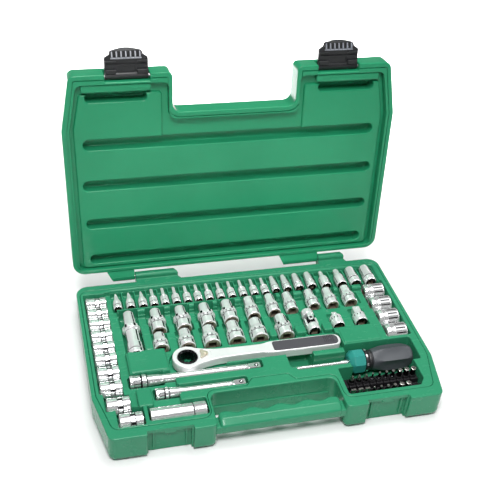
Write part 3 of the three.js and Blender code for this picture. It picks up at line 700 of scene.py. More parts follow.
def lid_shell():
    body = flipped(slab(OUTLINE, down(LID_TOP), LID_Z, top=1.1, bottom=5, steps=8))
    steps = Steps([("cut", rim_groove())])
    steps.cut(flipped(hollow(LINER, down(LID_TOP - 3), LID_Z, lip=1, foot=0.5, steps=6)))
    for side in (-1, 1):
        x = side * LATCH_X
        steps.cut(bay(x - 24, x + 24, 20, 53, -231.6))
        recess = box_corners(x - 24, x + 24, -262, -231.6, 1.2)
        steps.cut(flipped(hollow(recess, down(53), LID_Z, 1.4, 0.6)))
        steps.cut(pin_hole(x - 31, x + 31, LATCH_PIN))
    arm = [(-1, 36, 0.4), (5, 32.4, 1.5), (7.2, 31.3, 1.5), (10.8, 31.3, 2), (13.2, 33.6, 2)]
    arm += [(13.2, 37.6, 2), (7, 50, 3), (-1, 52, 0.4)]
    left = [(-152, -3, 0.5), (-117.6, -3, 0.5), (-117.6, 15, 0.5), (-142, 15, 2)]
    right = [(61, -3, 0.5), (112.9, -3, 0.5), (112.9, 15, 0.5), (70, 15, 2)]
    steps.add(knuckle(arm, -153, -117.6, left))
    steps.add(knuckle(arm, 60, 112.9, right))
    # outside of the lid: a recessed panel with four long ribs
    recess = [(-170, -150, 12), (170, -150, 12), (170, -24, 12), (-170, -24, 12)]
    steps.cut(hollow(recess, LID_TOP - 1.2, LID_TOP, 0.6, 0.4))
    for y in (-45, -73, -101, -129):
        steps.add(block(-150, 150, y - 4, y + 4, LID_TOP - 2, LID_TOP - 0.1, 3.9, 0.9))
    steps.cut(pin_hole(-200, 200, HINGE_PIN))
    return combine(body, steps)


def lid_liner():
    """The lid's inner wall: a raised panel with four grooves, and a slot and shelf under each latch."""
    wall = slab(LINER, down(LID_TOP - 3.3), down(PANEL_Z + 3.2), top=0.2, bottom=0.5, inset=0.3, steps=6)
    steps = Steps()
    steps.add(flipped(slab(PANEL, down(LID_TOP - 6), down(PANEL_Z), top=1.8, bottom=0.5, steps=5)))

    def sink(x0, x1, y0, y1, depth, r, lip, foot, **more):
        cutter = pocket(x0, x1, y0, y1, down(PANEL_Z + depth), down(PANEL_Z), r, lip, foot, **more)
        steps.cut(flipped(cutter))

    for y0, y1, half in CHANNELS:
        sink(-half, half, y0, y1, 12.5, (y1 - y0) / 2 - 0.05, 1.3, 2, steps=6)
    for side in (-1, 1):
        x0, x1 = sorted((side * 97, side * 163))
        sink(x0, x1, -217.9, -208.4, 16, 4, 1.6, 1.2)
        shelf = block(x0 - 4, x1 + 4, -228.6, -220.4, down(LID_TOP - 6), down(36.2), 1.5, 1.2, 0.5)
        steps.add(flipped(shelf))
    return combine(flipped(wall), steps)


def latch(side):
    """A latch in closed-lid coordinates, standing open from its pin towards -y."""
    x, (py, pz) = side * LATCH_X, LATCH_PIN
    w = 23
    thickness = [(-29.2, 5.6), (-29, 3.6), (-26, 1), (-23, -0.6), (-4, -0.6), (-2.6, -1.8), (0, -2.6)]
    thickness += [(2.3, -2), (3.3, 0), (2.3, 2.3), (0, 3.3), (-20, 3), (-24, 3.6), (-28, 6)]
    points = [Vector((py + y, pz + z)) for y, z in thickness]
    body = stack([(points, x - w), (points, x + w)], axis="x")
    left = [(-w, 4, 1.5), (-w, -19.5, 2), (5.4 - w, -22.6, 1.5), (6 - w, -26, 2)]
    face = [(x + a, py + b, r) for a, b, r in left]
    face.append((x, py - 29.4, 40))
    face += [(x - a, py + b, r) for a, b, r in reversed(left)]
    steps = Steps([("keep", stack([(outline(face, 0, 4), pz - 10), (outline(face, 0, 4), pz + 12)]))])

    def shape(kind, x0, x1, y0, y1, r, z0, z1, top, bottom):
        made = block(x + x0, x + x1, py + y0, py + y1, pz + z0, pz + z1, r, top, bottom)
        steps.append((kind, made))

    # centre recess between the two side blocks, a cross slot, and the dished thumb edge
    shape("cut", -10, 10, -11, -3.6, 1, -8, 0.8, 0.4, 0.1)
    shape("cut", -20.5, 20.5, -14.6, -12.4, 0.6, -8, 0.9, 0.4, 0.1)
    shape("cut", -16.6, 16.6, -26.6, -18.6, 1.5, -8, 1.4, 0.5, 0.1)
    for x0, x1 in ((-22.4, -11), (11, 22.4)):
        shape("add", x0, x1, -7.5, -3.2, 0.8, -3.4, 1, 0.1, 0.9)
        shape("add", x0, x1, -16.8, -15.2, 0.5, -2, 1, 0.1, 0.6)
    steps.cut(pin_hole(x - 40, x + 40, LATCH_PIN))
    return combine(body, steps)


def latch_ribs(side):
    """The seven thumb ribs of a latch and the ledge that they stand on."""
    x, (py, pz) = side * LATCH_X, LATCH_PIN
    rib = [(-18.9, 2.2), (-19.2, -0.9), (-21, -1.5), (-25.4, 0.6), (-26.2, 2.2)]
    points = [Vector((py + y, pz + z)) for y, z in rib]
    ledge = block(x - 16.4, x + 16.4, py - 19.4, py - 18.3, pz - 1, pz + 2, 0.4, 0.2, 0.4)
    steps = Steps()
    for k in range(7):
        middle = x - 14.7 + 4.9 * k
        steps.add(stack([(points, middle - 0.65), (points, middle + 0.65)], axis="x"))
    return combine(ledge, steps)


def pin(node, place):
    (x0, x1), _, _ = span(node)
    rings = [(x0, 0.9), (x0, 1.2), (x0 + 0.4, 1.5), (x1 - 0.4, 1.5), (x1, 1.2), (x1, 0.9)]
    return spun(rings, "x", 0, *place)


piece("case_base", base_shell(), "case", TRAY_GREEN, replaces=["base_shell"])
piece("case_tray", tray(), "case", TRAY_GREEN, replaces=["tool_tray"])
piece("case_lid", lid_shell(), "lid", GREEN, LID, ["lid_shell"])
piece("lid_panel", lid_liner(), "lid", GREEN, LID, ["lid_liner"])
for side, word in ((-1, "left"), (1, "right")):
    name, latch_pin, hinge_pin = "latch_" + word, "latch_pin_" + word, "hinge_pin_" + word
    piece("case_" + name, latch(side), name, BLACK, LID, [name], soften=0.3)
    # the ribs and their ledge carry a light grey painted highlight
    piece("case_latch_ribs_" + word, latch_ribs(side), name, RIB_HIGHLIGHT, LID)
    piece("case_" + latch_pin, pin(latch_pin, LATCH_PIN), "lid", STEEL, LID, [latch_pin])
    piece("case_" + hinge_pin, pin(hinge_pin, HINGE_PIN), "case", STEEL, replaces=[hinge_pin])


# ---------------------------------------------------------------- sockets
METALS = [CHROME, BORE, SATIN, DARK_AND_SHADE, TIP]  # in the order BRIGHT, HOLE, EDGE, SHADE, POINT
LIT_METALS = [LIT_CHROME, BORE, SATIN, DARK_AND_SHADE, TIP]  # the same, with the chrome painted lighter, for pieces that lie along Y
# sockets with a raised collar: how thick they are in front of it, as a share of the collar
SLIM = {"socket_second_1": 0.85, "socket_second_2": 0.85, "socket_second_3": 0.85}
SLIM |= {"socket_second_4": 0.93, "socket_third_6": 0.93}


def across(node, right=False):
    """A socket that lies along X: drive end, knurled ring or two grooves, hexagon end."""
    (x0, x1), (y0, y1), (z0, z1) = span(node)
    r, n = max(y1 - y0, z1 - z0) / 2 * (0.95 if right else 0.905), x1 - x0
    hole = min(6.6, r * 0.72)
    rings = [(n * 0.42, hole, SQUARE, HOLE), (1.5, hole, SQUARE, HOLE), (0.6, hole * 1.1, SQUARE, EDGE)]
    rings += [(0.6, r * 0.84), (1, r * 0.92, "faceted"), (1.8, r * 0.97, "faceted")]
    if right:
        rings += [(n * 0.2, r), (n * 0.22, r * 0.98, "knurl"), (n * 0.38, r * 0.98, "knurl")]
        rings += [(n * 0.4, r), (n * 0.45, r), (n * 0.46, r, "lines")]
        rings += [(n - 1.9, r, "lines", LINES), (n - 1.6, r)]
    else:
        rings += [(n * 0.46, r * 0.97, "faceted"), *groove(n * 0.465, n * 0.48, r * 0.86)]
        rings += [(n * 0.49, r * 0.94, ROUND, EDGE), (n * 0.66, r * 0.94, ROUND, WIDE)]
        rings += [*groove(n * 0.665, n * 0.685, r * 0.86), (n * 0.7, r * 0.99, "faceted")]
    rings += [(n - 1.1, r, ROUND if right else "faceted"), (n - 0.4, r * 0.97), (n, r * 0.91)]
    rings += [(n, r * 0.76, HEX, EDGE), (n - 0.9, r * 0.7, HEX, HOLE), (n * 0.56, r * 0.7, HEX, HOLE)]
    return spun(rings, "x", x0, (y0 + y1) / 2, (z0 + z1) / 2)


def nosed(node):
    """A socket along Y with a narrow nose behind and its drive end in front."""
    (x0, x1), (y0, y1), (z0, z1) = span(node)
    wide, n = max(x1 - x0, z1 - z0) / 2, y1 - y0
    r = wide * SLIM.get(node, 1)
    nose, step, hole = 0.75 * r, n * 0.5, min(6.2, r * 0.76)
    radii = (r * 0.88, r * 0.95, r)
    rings = drive_end(0, n * 0.45, hole, hole * 1.08, radii, 0.4, 1.1, faces=(HOLE, HOLE))
    rings += [(step - 7, r, "flutes", FLANK), *groove(step - 6.7, step - 5.7, r * 0.9)]
    rings += [(step - 5.4, r), (step - 3.4, r, ROUND, FINE)]
    if node in SLIM:
        rings += [shaded(step - 3.1, r * 0.92), (step - 3, wide * 0.95, "flutes")]
        rings += [(step - 2.6, wide, "flutes"), (step + 1.2, wide, "flutes", WIDE)]
        rings += [(step + 1.8, wide * 0.93), shaded(step + 2.2, nose + 1.2)]
    else:
        rings += [(step - 1, r)]
    rings += [(step + 3.2, nose + 0.8, "faceted"), (step + 4.4, nose + 0.45, "faceted")]
    rings += [(n - 1.6, nose, "faceted", FLANK), (n - 0.5, nose * 0.94), (n, nose * 0.84)]
    rings += [(n, nose * 0.66, HEX, EDGE), (n - 5, nose * 0.62, HEX, HOLE)]
    return spun(rings, "y", (x0 + x1) / 2, y0, (z0 + z1) / 2)


for node in LEFT:
    tool(node, across(node), "left_sockets")
for node in RIGHT:
    tool(node, across(node, True), "right_sockets")
for node in SECOND:
    tool(node, nosed(node), "second_row", materials=LIT_METALS)
for node in THIRD:
    tool(node, nosed(node), "third_row", materials=LIT_METALS)


# ---------------------------------------------------------------- back row
def bit_rings(i):
    """Rings of a bit on a socket: the first three end in cross points, the rest in hexagon keys."""
    r = 5 if i < 3 else 4.8
    rings = drive_end(-44, 5, 2.9, 3.3, (r * 0.86, r * 0.95, r), 0.5, 1.4, 0.8)
    rings += [(-39.6, r), *groove(-39.3, -38.3, r * 0.92), (-38, r)]
    if i < 3:
        rings += [(-33.4, r), shaded(-32.6, r * 0.86), (-31.8, r * 0.9), (-28.4, r * 0.74)]
        rings += [shaded(-27.8, 2.9), (-22, 2.4, "cross"), (-17, 1.1, "cross"), (-16, 0.3)]
        return rings
    rings += [(-32.6, r), shaded(-31.8, r * 0.88), (-31.2, r * 0.96), (-29.6, r * 0.86)]
    rings += [(-28.2, r * 0.66), shaded(-27.6, 2.3)]
    return rings + [(-27.2, 2.1, HEX), (-15.2, 1.9, HEX), (-14.5, 1.3, HEX)]


def cone_rings(i):
    r, tip = 5 + 0.3 * i, 2.9 + 0.45 * i
    rings = drive_end(-41, 4, 2.9, 3.3, (r * 0.86, r * 0.96, r), 0.6, 1.4, 0.8)
    rings += [(-34.4, r, ROUND, FLANK), *groove(-34, -33.2, r * 0.92), (-32.8, r * 0.97)]
    rings += [(-24, (r + tip) / 2, "faceted", FLANK), (-15.4, tip, "faceted", FLANK)]
    return rings + [(-14.5, tip * 0.85), (-14.4, tip * 0.5, HEX, HOLE), (-17, tip * 0.5, HEX, HOLE)]


def stub_rings(i):
    r = 6.3 + 0.3 * i
    rings = drive_end(-43, 5, 3.9, 4.3, (r * 0.88, r * 0.96, r), 0.6, 1.4, 0.8)
    rings += [(-30, r, ROUND, FLANK), (-26.4, r * 0.84), (-24.4, r * 0.66), (-23.8, 3.2 + i, ROUND, EDGE)]
    return rings + [(-23.2, 2.9 + i, HEX), (-15, 2.7 + i, HEX), (-14.4, 2.1 + i, HEX)]


def plain_rings(i):
    r, tip = 7 + 0.4 * i, 5.9 + 0.4 * i
    rings = drive_end(-44, 6, 4.6, 5, (r * 0.88, r * 0.96, r), 0.6, 1.4, 0.8)
    rings += [(-36, r), *groove(-35.6, -34.6, r * 0.93), (-34.2, r)]
    rings += [(-28, r * 0.93, "faceted", FLANK), (-16, tip, "faceted", FLANK), (-15, tip * 0.9)]
    return rings + [(-15, tip * 0.66, HEX, EDGE), (-20, tip * 0.62, HEX, HOLE)]


def back_row():
    """Twenty-two small bits and sockets, each a piece of its own."""
    kinds = ((TIP_X, bit_rings), (CONE_X, cone_rings), (STUB_X, stub_rings), (PLAIN_X, plain_rings))
    shapes = [(x, rings(i)) for xs, rings in kinds for i, x in enumerate(xs)]
    for number, (x, rings) in enumerate(shapes, 1):
        stands_for = ["back_row_bits"] if number == 1 else []
        bm = spun(rings, "y", x, 0, 31)
        piece(f"tool_back_row_{number}", bm, "back_row", LIT_METALS, ROW, stands_for, 40)


back_row()


# ---------------------------------------------------------------- adapters and spinner bar
def adapter(node, tip):
    (x0, x1), (y0, y1), (z0, z1) = span(node)
    r, n = max(x1 - x0, z1 - z0) / 2, y1 - y0
    neck = n - (7 if tip < 4 else 12)
    rings = drive_end(0, 9, min(r * 0.8, 6), min(r * 0.84, 6.3), (r * 0.9, r * 0.97, r))
    rings += [(neck * 0.55, r), shaded(neck * 0.57, r * 0.95), (neck * 0.8, r * 0.95, ROUND, FINE)]
    rings += [(neck * 0.82, r), (neck - 1.4, r), (neck - 0.5, r * 0.93), (neck, r * 0.8)]
    rings += [(neck, tip * 1.3, ROUND, EDGE), (neck + 1, tip * 1.3, SQUARE)]
    rings += [(n - 1.2, tip * 1.3, SQUARE), (n, tip * 1.05, SQUARE)]
    x, z = (x0 + x1) / 2, (z0 + z1) / 2
    return merged(spun(rings, "y", x, y0, z), ball(1.1, x, y1 - 3.2, z + tip * 0.86, 16, 10))


def spinner():
    (x0, x1), (f, b), (z0, z1) = span("spinner_bar")
    r = max(x1 - x0, z1 - z0) / 2
    rings = drive_end(f, 12, 5.6, 5.9, (8, 8.6, 9.1))
    rings += [(f + 6, 9.1, ROUND, FLANK), *groove(f + 6.3, f + 7.4, 8.3), (f + 7.7, 9)]
    rings += [(f + 17, 8.9, "faceted", FLANK), (f + 19, 8, "faceted"), (-84, 8, "faceted", FLANK)]
    rings += [shaded(-83.4, 7.6), (-82.6, 8.4), (-82, r * 0.97, "flutes"), (-81.4, r, "flutes")]
    rings += [(-76.6, r, "flutes", WIDE), (-75.6, r * 0.9), shaded(-74.8, 8), (-72.6, 7.4, "faceted")]
    rings += [(b - 10, 6.8, "faceted", FLANK), (b - 1.2, 6.3, "faceted", FLANK), (b, 5.5)]
    rings += [(b, 3.9, HEX, EDGE), (b - 5, 3.9, HEX, HOLE)]
    return spun(rings, "y", (x0 + x1) / 2, 0, (z0 + z1) / 2)


tool("adapter_1", adapter("adapter_1", 3.2), "adapters", materials=LIT_METALS)
tool("adapter_2", adapter("adapter_2", 4.6), "adapters", materials=LIT_METALS)
tool("spinner_bar", spinner(), "spinner_bar", materials=LIT_METALS)


# ---------------------------------------------------------------- universal joint
CROSS_X, _, CROSS_Z = span("joint_cross")
JX, JZ = sum(CROSS_X) / 2, sum(CROSS_Z) / 2
PIVOT_Y = -99.5
FORK_HOLE = 1.9


def joint_front():
    y0 = span("joint_front")[1][0]
    rings = drive_end(y0, 9, 5.2, 5.5, (6.7, 7.2, 7.6))
    rings += [(PIVOT_Y - 9.6, 7.6), (PIVOT_Y - 8.6, 7.2), (PIVOT_Y - 7.8, 6.2)]
    steps = Steps()
    for s in (-1, 1):
        x0, x1 = sorted((JX + s * 5.2, JX + s * 7.4))
        ear = [(-9, -3.4, 0.4), (3.6, -3.4, 3.2), (3.6, 3.4, 3.2), (-9, 3.4, 0.4)]
        ear = [(PIVOT_Y + y, JZ + z, r) for y, z, r in ear]
        steps.add(profile_along_x(ear, x0, x1, 0.5, 6))
    steps.cut(spun([(JX - 20, FORK_HOLE), (JX + 20, FORK_HOLE)], "x", 0, PIVOT_Y, JZ))
    return combine(spun(rings, "y", JX, 0, JZ), steps)


def joint_back():
    y1 = span("joint_back")[1][1]
    rings = [(PIVOT_Y + 7.6, 5.4), (PIVOT_Y + 8, 6.6), (y1 - 8, 7.4), (y1 - 3, 7.3, "faceted")]
    rings += [(y1 - 1, 6.8), (y1 - 0.3, 6), (y1, 5.3), (y1, 3.6, HEX, EDGE), (y1 - 5, 3.4, HEX, HOLE)]
    steps = Steps()
    for s in (-1, 1):
        z0, z1 = sorted((JZ + s * 4.9, JZ + s * 6.9))
        ear = [(-3, -3.2, 2.6), (3, -3.2, 2.6), (3, 8.6, 0.3), (-3, 8.6, 0.3)]
        steps.add(slab([(JX + x, PIVOT_Y + y, r) for x, y, r in ear], z0, z1, 0.4, 0.4))
    steps.cut(spun([(JZ - 20, FORK_HOLE), (JZ + 20, FORK_HOLE)], "z", JX, PIVOT_Y))
    return combine(spun(rings, "y", JX, 0, JZ), steps)


def joint_cross():
    centre = block(JX - 4, JX + 4, PIVOT_Y - 4, PIVOT_Y + 4, JZ - 4, JZ + 4, 1.2, 0.6, 0.6)
    arm = [(JX - 7.4, 1.2), (JX - 7, 1.6), (JX + 7, 1.6), (JX + 7.4, 1.2)]
    post = [(JZ - 6.7, 1.2), (JZ - 6.4, 1.6), (JZ + 6.4, 1.6), (JZ + 6.7, 1.2)]
    steps = Steps([("add", spun(arm, "x", 0, PIVOT_Y, JZ)), ("add", spun(post, "z", JX, PIVOT_Y))])
    return combine(centre, steps)


tool("joint_front", joint_front(), "joint_front", materials=LIT_METALS)
tool("joint_back", joint_back(), "joint_back", materials=LIT_METALS)
tool("joint_cross", joint_cross(), "joint_cross", DARK_AND_SHADE)


# ---------------------------------------------------------------- extension bars and long socket
BAR_Z = 28
BAR_TIP = 4.6


def extension(node, y, r, head, head_n):
    (x0, x1), _, _ = span(node)
    n = x1 - x0
    rings = drive_end(0, 10, 5.4, 5.8, (head * 0.88, head * 0.96, head))
    rings += [(head_n * 0.22, head), shaded(head_n * 0.24, head * 0.96)]
    rings += [(head_n * 0.62, head * 0.96, ROUND, FINE), *groove(head_n * 0.64, head_n * 0.72, head * 0.9)]
    rings += [(head_n * 0.74, head), (head_n - 1, head), (head_n, head * 0.86)]
    rings += [shaded(head_n + 1, r + 1.5), (head_n + 2.4, r + 1.2), (head_n + 12, r + 0.8)]
    rings += [(head_n + 16, r), (n - 20, r), (n - 19.7, r * 0.93, ROUND, EDGE)]
    rings += [(n - 18.6, r * 0.93, ROUND, EDGE), (n - 18.3, r), (n - 15.4, r)]
    rings += [(n - 14, r * 0.86, ROUND, EDGE), (n - 12.4, BAR_TIP * 1.05, SQUARE)]
    rings += [(n - 1.4, BAR_TIP * 1.12, SQUARE), (n - 0.3, BAR_TIP * 0.98, SQUARE), (n, 4, SQUARE)]
    # a dark ring round the spring ball: painted shade where it sits
    seat = [shaded(3.2, 1.9), shaded(3.9, 2.3), shaded(4.1, 2.1)]
    ball_x = x0 + n - 5
    return merged(
        spun(rings, "x", x0, y, BAR_Z),
        spun(seat, "z", ball_x, y, BAR_Z - 0.4),
        ball(1.5, ball_x, y, BAR_Z + 3.3, 20, 12),
    )


def plug_socket():
    (x0, x1), _, _ = span("socket_plug")
    n, r = x1 - x0, 9.6
    rings = drive_end(0, 14, 6.2, 6.7, (r * 0.88, r * 0.94, r * 0.98), 0.4, faces=(SHADE, BRIGHT))
    rings += [(n - 14.8, r * 0.98), (n - 14.2, r * 0.95, ROUND, EDGE), shaded(n - 13.4, r * 0.93)]
    rings += [(n - 12.9, r * 1.02), (n - 12.4, r * 1.04, "faceted"), (n - 1.6, r * 1.04, "faceted")]
    rings += [(n - 0.5, r * 0.99), (n, r * 0.92), (n, r * 0.76, HEX, EDGE)]
    rings += [(n - 1, r * 0.72, HEX, HOLE), (n - 30, r * 0.7, HEX, HOLE)]
    return spun(rings, "x", x0, -210, 26)


tool("extension_long", extension("extension_long", -160, 4.9, 7.4, 18), "long_bar")
tool("extension_short", extension("extension_short", -181.7, 4.4, 6.6, 14), "short_bar")
tool("socket_plug", plug_socket(), "plug_socket")


# ---------------------------------------------------------------- ratchet wrench
LEVER_X, LEVER_Y = WX + 19.5, WY + 1


def wrench_outline():
    right = [(-52, -7.8), (-30, -7), (-8, -6.6), (4, -6.8), (11, -8.9), (20, -9.1), (85, -9.1)]
    right += [(92, -7.6), (94.6, -2.8)]
    left = [(94.6, 2.8), (92, 7.6), (85, 9.1), (20, 9.1), (11, 8.8), (4, 6.6), (-8, 6.4)]
    left += [(-30, 6.9), (-52, 7.6)]
    arc = []
    for k in range(21):
        a = math.radians(48 + (360 - 96) * k / 20)
        arc.append((WX + 16.6 * math.cos(a), 16.6 * math.sin(a)))
    return smoothed([(x, y + WY) for x, y in right + left + arc])


def grip_line(inset):
    h = 7.6 - inset
    x0, x1 = 15 + inset, 91.5 - inset
    return [(x0, WY - h, 3), (x1, WY - h, 6), (x1, WY + h, 6), (x0, WY + h, 3)]


def wrench_body():
    line = wrench_outline()
    body = slab(lambda inset: shrink(line, inset), W_LOW + 0.5, W_TOP - 0.3, top=1.2, bottom=1)
    cuts = [
        spun([(10, 11.3), (50, 11.3)], "z", WX, WY),
        spun([(W_TOP - 1, 11.3), (W_TOP + 0.4, 12.5)], "z", WX, WY),
        slab(grip_line(0), W_TOP - 2.6, W_TOP + 4, 0.1, 0.1),
        spun([(W_TOP - 6, 2.3), (W_TOP + 4, 2.3)], "z", LEVER_X, LEVER_Y),
        block(WX + 11.8, WX + 26.5, WY - 7, WY + 8, W_TOP - 0.75, W_TOP + 3, 5, 0.1, 0.2),
    ]
    return combine(body, [("cut", c) for c in cuts])


def wrench_grip():
    body = slab(grip_line(0.3), W_TOP - 2.3, W_TOP + 0.4, top=0.8, bottom=0.2)
    steps = Steps()
    for k in range(6):
        x = 74.5 + 2.1 * k
        slot = block(x, x + 1, WY - 5.4, WY + 5.4, W_TOP - 0.35, W_TOP + 3, 0.4, 0.1)
        steps.cut(slot)
    return combine(body, steps)


def wrench_ring():
    """The ratchet's ring, with twelve teeth inside."""
    star = []
    for k in range(144):
        a = math.pi * 2 * k / 144
        r = 8.4 - 1.1 * (0.5 - 0.5 * math.cos(a * 12)) ** 0.8
        star.append((r * math.cos(a), r * math.sin(a)))
    rings = [(W_LOW + 0.6, 10.4), (W_LOW + 1.2, 11), (W_TOP - 0.2, 11), (W_TOP + 0.4, 10.6)]
    rings.append((W_TOP + 0.6, 10))
    teeth = stack([(star, W_LOW - 3), (star, W_TOP + 4)])
    chamfer = spun([(W_TOP - 0.4, 8.3), (W_TOP + 1, 9.6)], "z")
    ring = combine(spun(rings, "z"), [("cut", teeth), ("cut", chamfer)])
    ring.transform(Matrix.Translation((WX, WY, 0)))
    return ring


def wrench_lever():
    fan = [(-6.5, -5.5), (-5, -6.5), (0, -3.6), (3.2, -2), (3.5, 0)]
    fan += [(3.2, 2), (0, 3.8), (-2.5, 6.4), (-5.5, 5.2), (-4.2, 0)]
    line = smoothed(fan)
    blade = slab(lambda inset: shrink(line, inset), W_TOP + 0.3, W_TOP + 1.9, top=0.5, bottom=0.2)
    stem = spun([(W_TOP - 5, 2), (W_TOP + 1, 2)], "z")
    cap = spun([(W_TOP + 1.2, 2.1), (W_TOP + 2.3, 2), (W_TOP + 2.6, 1.5)], "z")
    lever = combine(blade, [("add", stem), ("add", cap)])
    lever.transform(Matrix.Translation((LEVER_X, LEVER_Y, 0)))
    return lever


tool("wrench_body", wrench_body(), "wrench", materials=LIT_WRENCH_CHROME)
tool("wrench_grip", wrench_grip(), "wrench", GRIP)
tool("wrench_ring", wrench_ring(), "ratchet_ring", DARK_AND_SHADE, 30)
tool("wrench_lever", wrench_lever(), "reversing_lever", BRONZE)


# ---------------------------------------------------------------- driver
DY, DZ = -164, 21


def eased(r, sides, flat):
    """A ring of points that is round where flat is 0 and has that many sides where it is 1."""
    w = 2 * math.pi / sides
    points = []
    for i in range(N):
        t = 2 * math.pi * i / N
        side = math.cos(w / 2) / math.cos((t + w / 2) % w - w / 2)
        d = r * (1 - flat * (1 - side))
        points.append((d * math.cos(t), d * math.sin(t)))
    return points


def handle():
    """The driver's grip: round at the neck, then eased flats that fade towards the butt."""
    neck = [(119, 9.2), (119.6, 10.6), (121, 11.3), (122.4, 11.3), (122.8, 10.7), (124.2, 10.7)]
    grip = [(124.6, 11.6, 0), (127, 12.2, 0.1), (130, 13, 0.3), (133, 13.7, 0.6), (137, 14.4, 0.9)]
    grip += [(142, 14.9, 1), (148, 15, 1), (154, 15, 1), (160, 14.8, 0.9), (165, 14.2, 0.7)]
    grip += [(169, 12.8, 0.4), (171.5, 10.9, 0.2), (172.6, 8.9, 0), (173, 6.5, 0)]
    rings = [(eased(3.4, 6, 0), 150), (eased(3.4, 6, 0), 119)]
    rings += [(eased(r, 6, 0), x) for x, r in neck]
    rings += [(eased(r, 6, flat * 1.6), x) for x, r, flat in grip]
    bm = stack(rings, [0, 0] + [1] * len(neck) + [0] * len(grip), "x")
    bm.transform(Matrix.Translation((0, DY, DZ)))
    return bm


def collar():
    """The teal collar, round in front and eight-sided behind."""
    rows = [(114.8, 3.4, 0), (96.5, 3.4, 0), (96.5, 7.4, 0), (96.9, 8.6, 0), (97.6, 10, 0.4)]
    rows += [(101, 13.2, 0.8), (102, 13.9, 1), (103, 14, 1), (112, 14, 1)]
    rows += [(113.4, 13.7, 1), (114.4, 12.9, 0.6), (114.8, 12.2, 0.2)]
    bm = stack([(eased(r, 8, flat), x) for x, r, flat in rows], axis="x")
    bm.transform(Matrix.Translation((0, DY, DZ)))
    return bm


def clasp_ring():
    """The ring behind the collar, dark with bright stripes across its rim."""
    rows = [(118.7, 3.4), (115.1, 3.4), (115.1, 11.6), (115.4, 12.4), (115.9, 12.8), (117.9, 12.8)]
    rows += [(118.4, 12.4), (118.7, 11.6)]
    bm = stack([(section(r), x) for x, r in rows], axis="x")
    for f in bm.faces:
        c = f.calc_center_median()
        if 115.9 < c.x < 117.9 and math.hypot(c.y, c.z) > 10:
            k = int((math.atan2(c.z, c.y) + math.pi) / (2 * math.pi) * N)
            f.material_index = 1 if k % 6 in (2, 3) else 0
    bm.transform(Matrix.Translation((0, DY, DZ)))
    return bm


def shaft():
    (x0, x1), _, _ = span("driver_shaft")
    rings = [(x0, 1.5, HEX), (x0 + 0.8, 2.1, HEX), (x0 + 6, 2.2, HEX), (x0 + 6.4, 2.2)]
    rings += [(88, 2.2), (90, 2.9), (95.4, 2.9), (95.8, 2.9), (x1, 2.9)]
    return spun(rings, "x", 0, DY, DZ)


tool("driver_handle", handle(), "driver", [HANDLE, NECK], 50)
tool("driver_collar", collar(), "driver_collar", TEAL, 24)
tool("driver_ring", clasp_ring(), "driver", materials=[NECK, CHROME])
tool("driver_shaft", shaft(), "driver_shaft", materials=CHROME)


# ---------------------------------------------------------------- bit rack
PITCH = 7.95
REAR_X, REAR_Y, REAR_COUNT = 89, -198.2, 10
FRONT_X, FRONT_Y, FRONT_COUNT = 84, -217, 9
RACK_TOP = 24.5
BIT_TOP = 35.4


def rack():
    """The holder: two rows of round sleeves, with slots between neighbours."""
    body = block(78.5, 165.5, -221, -192.5, 7.6, RACK_TOP, 2, 0.8, 0.5)
    steps = Steps([("cut", pocket(77, 167, -212.3, -204.7, 18, RACK_TOP, 0.5, 0.6, 1))])
    for i in range(REAR_COUNT):
        x = REAR_X + i * PITCH
        sleeve = [(20, 4.3), (26.2, 4.3), (26.8, 3.9)]
        steps.cut(pocket(x - 4.6, x - 3.4, -206, -190, 12, RACK_TOP, 0.4, 0.3, 0.3))
        steps.add(spun(sleeve, "z", x - 0.2, REAR_Y))
    for i in range(FRONT_COUNT):
        x = FRONT_X + i * PITCH
        sleeve = [(20, 4.1), (25.6, 4.1), (26.2, 3.7)]
        steps.cut(pocket(x + 3.3, x + 4.6, -223, -211, 12, RACK_TOP, 0.4, 0.3, 0.3))
        steps.add(spun(sleeve, "z", x, FRONT_Y))
    return combine(body, steps)


def key_rings(i, r, rear):
    """Rings of an upright bit with a hexagon key that gets thicker from left to right."""
    tip = (1 if rear else 1.2) + 0.26 * (i - 3) + (0.5 if i > 6 else 0)
    drop = 0 if rear else 1.4
    rings = [(20, r, HEX, SHADE), (26.8, r, HEX, SHADE), shaded(27.6 - drop, 2.9)]
    rings += [(28.2 - drop, max(tip, 1.7) + 0.2, ROUND, SHADE), (28.8 - drop, tip + 0.25, HEX, SHADE)]
    rings += [(33.6 - drop, tip + 0.2, HEX, SHADE), (33.8 - drop, tip + 0.2, HEX, POINT)]
    return rings + [(BIT_TOP - 0.5 - drop, tip + 0.15, HEX, POINT), (BIT_TOP - drop, tip * 0.8, HEX, POINT)]


def upright(x, y, i, rear):
    """An upright bit: the first three of a row are crosses behind and blades in front, the rest keys."""
    r = 3.55
    if i > 2:
        rings = key_rings(i, r, rear)
    elif rear:
        rings = [(20, r, HEX, SHADE), (28.2, r, HEX, SHADE), shaded(28.8, 2.9)]
        rings += [shaded(29.6, 2.5), (31.6, 2.5, "cross", POINT), (34.2, 1.5, "cross", POINT)]
        rings += [(BIT_TOP, 0.5, "cross", POINT)]
    else:
        rings = [(20, r, HEX, SHADE), (26.6, r, HEX, SHADE), shaded(27.4, 2.9)]
        rings += [shaded(29, 2.6), (31.5, 3, "blade", POINT), (33.4, 3, "blade", POINT)]
        rings += [(33.8, 2.7, "blade", POINT)]
    return spun(rings, "z", x, y)


piece("tool_rack_holder", rack(), "bit_rack", RACK, replaces=["bit_rack"])
for i in range(REAR_COUNT):
    bit = upright(REAR_X + i * PITCH, REAR_Y, i, True)
    piece(f"tool_rack_bit_{i + 1}", bit, "bit_rack", METALS, sharp=40)
for i in range(FRONT_COUNT):
    bit = upright(FRONT_X + i * PITCH, FRONT_Y, i, False)
    piece(f"tool_rack_bit_{i + 1 + REAR_COUNT}", bit, "bit_rack", METALS, sharp=40)


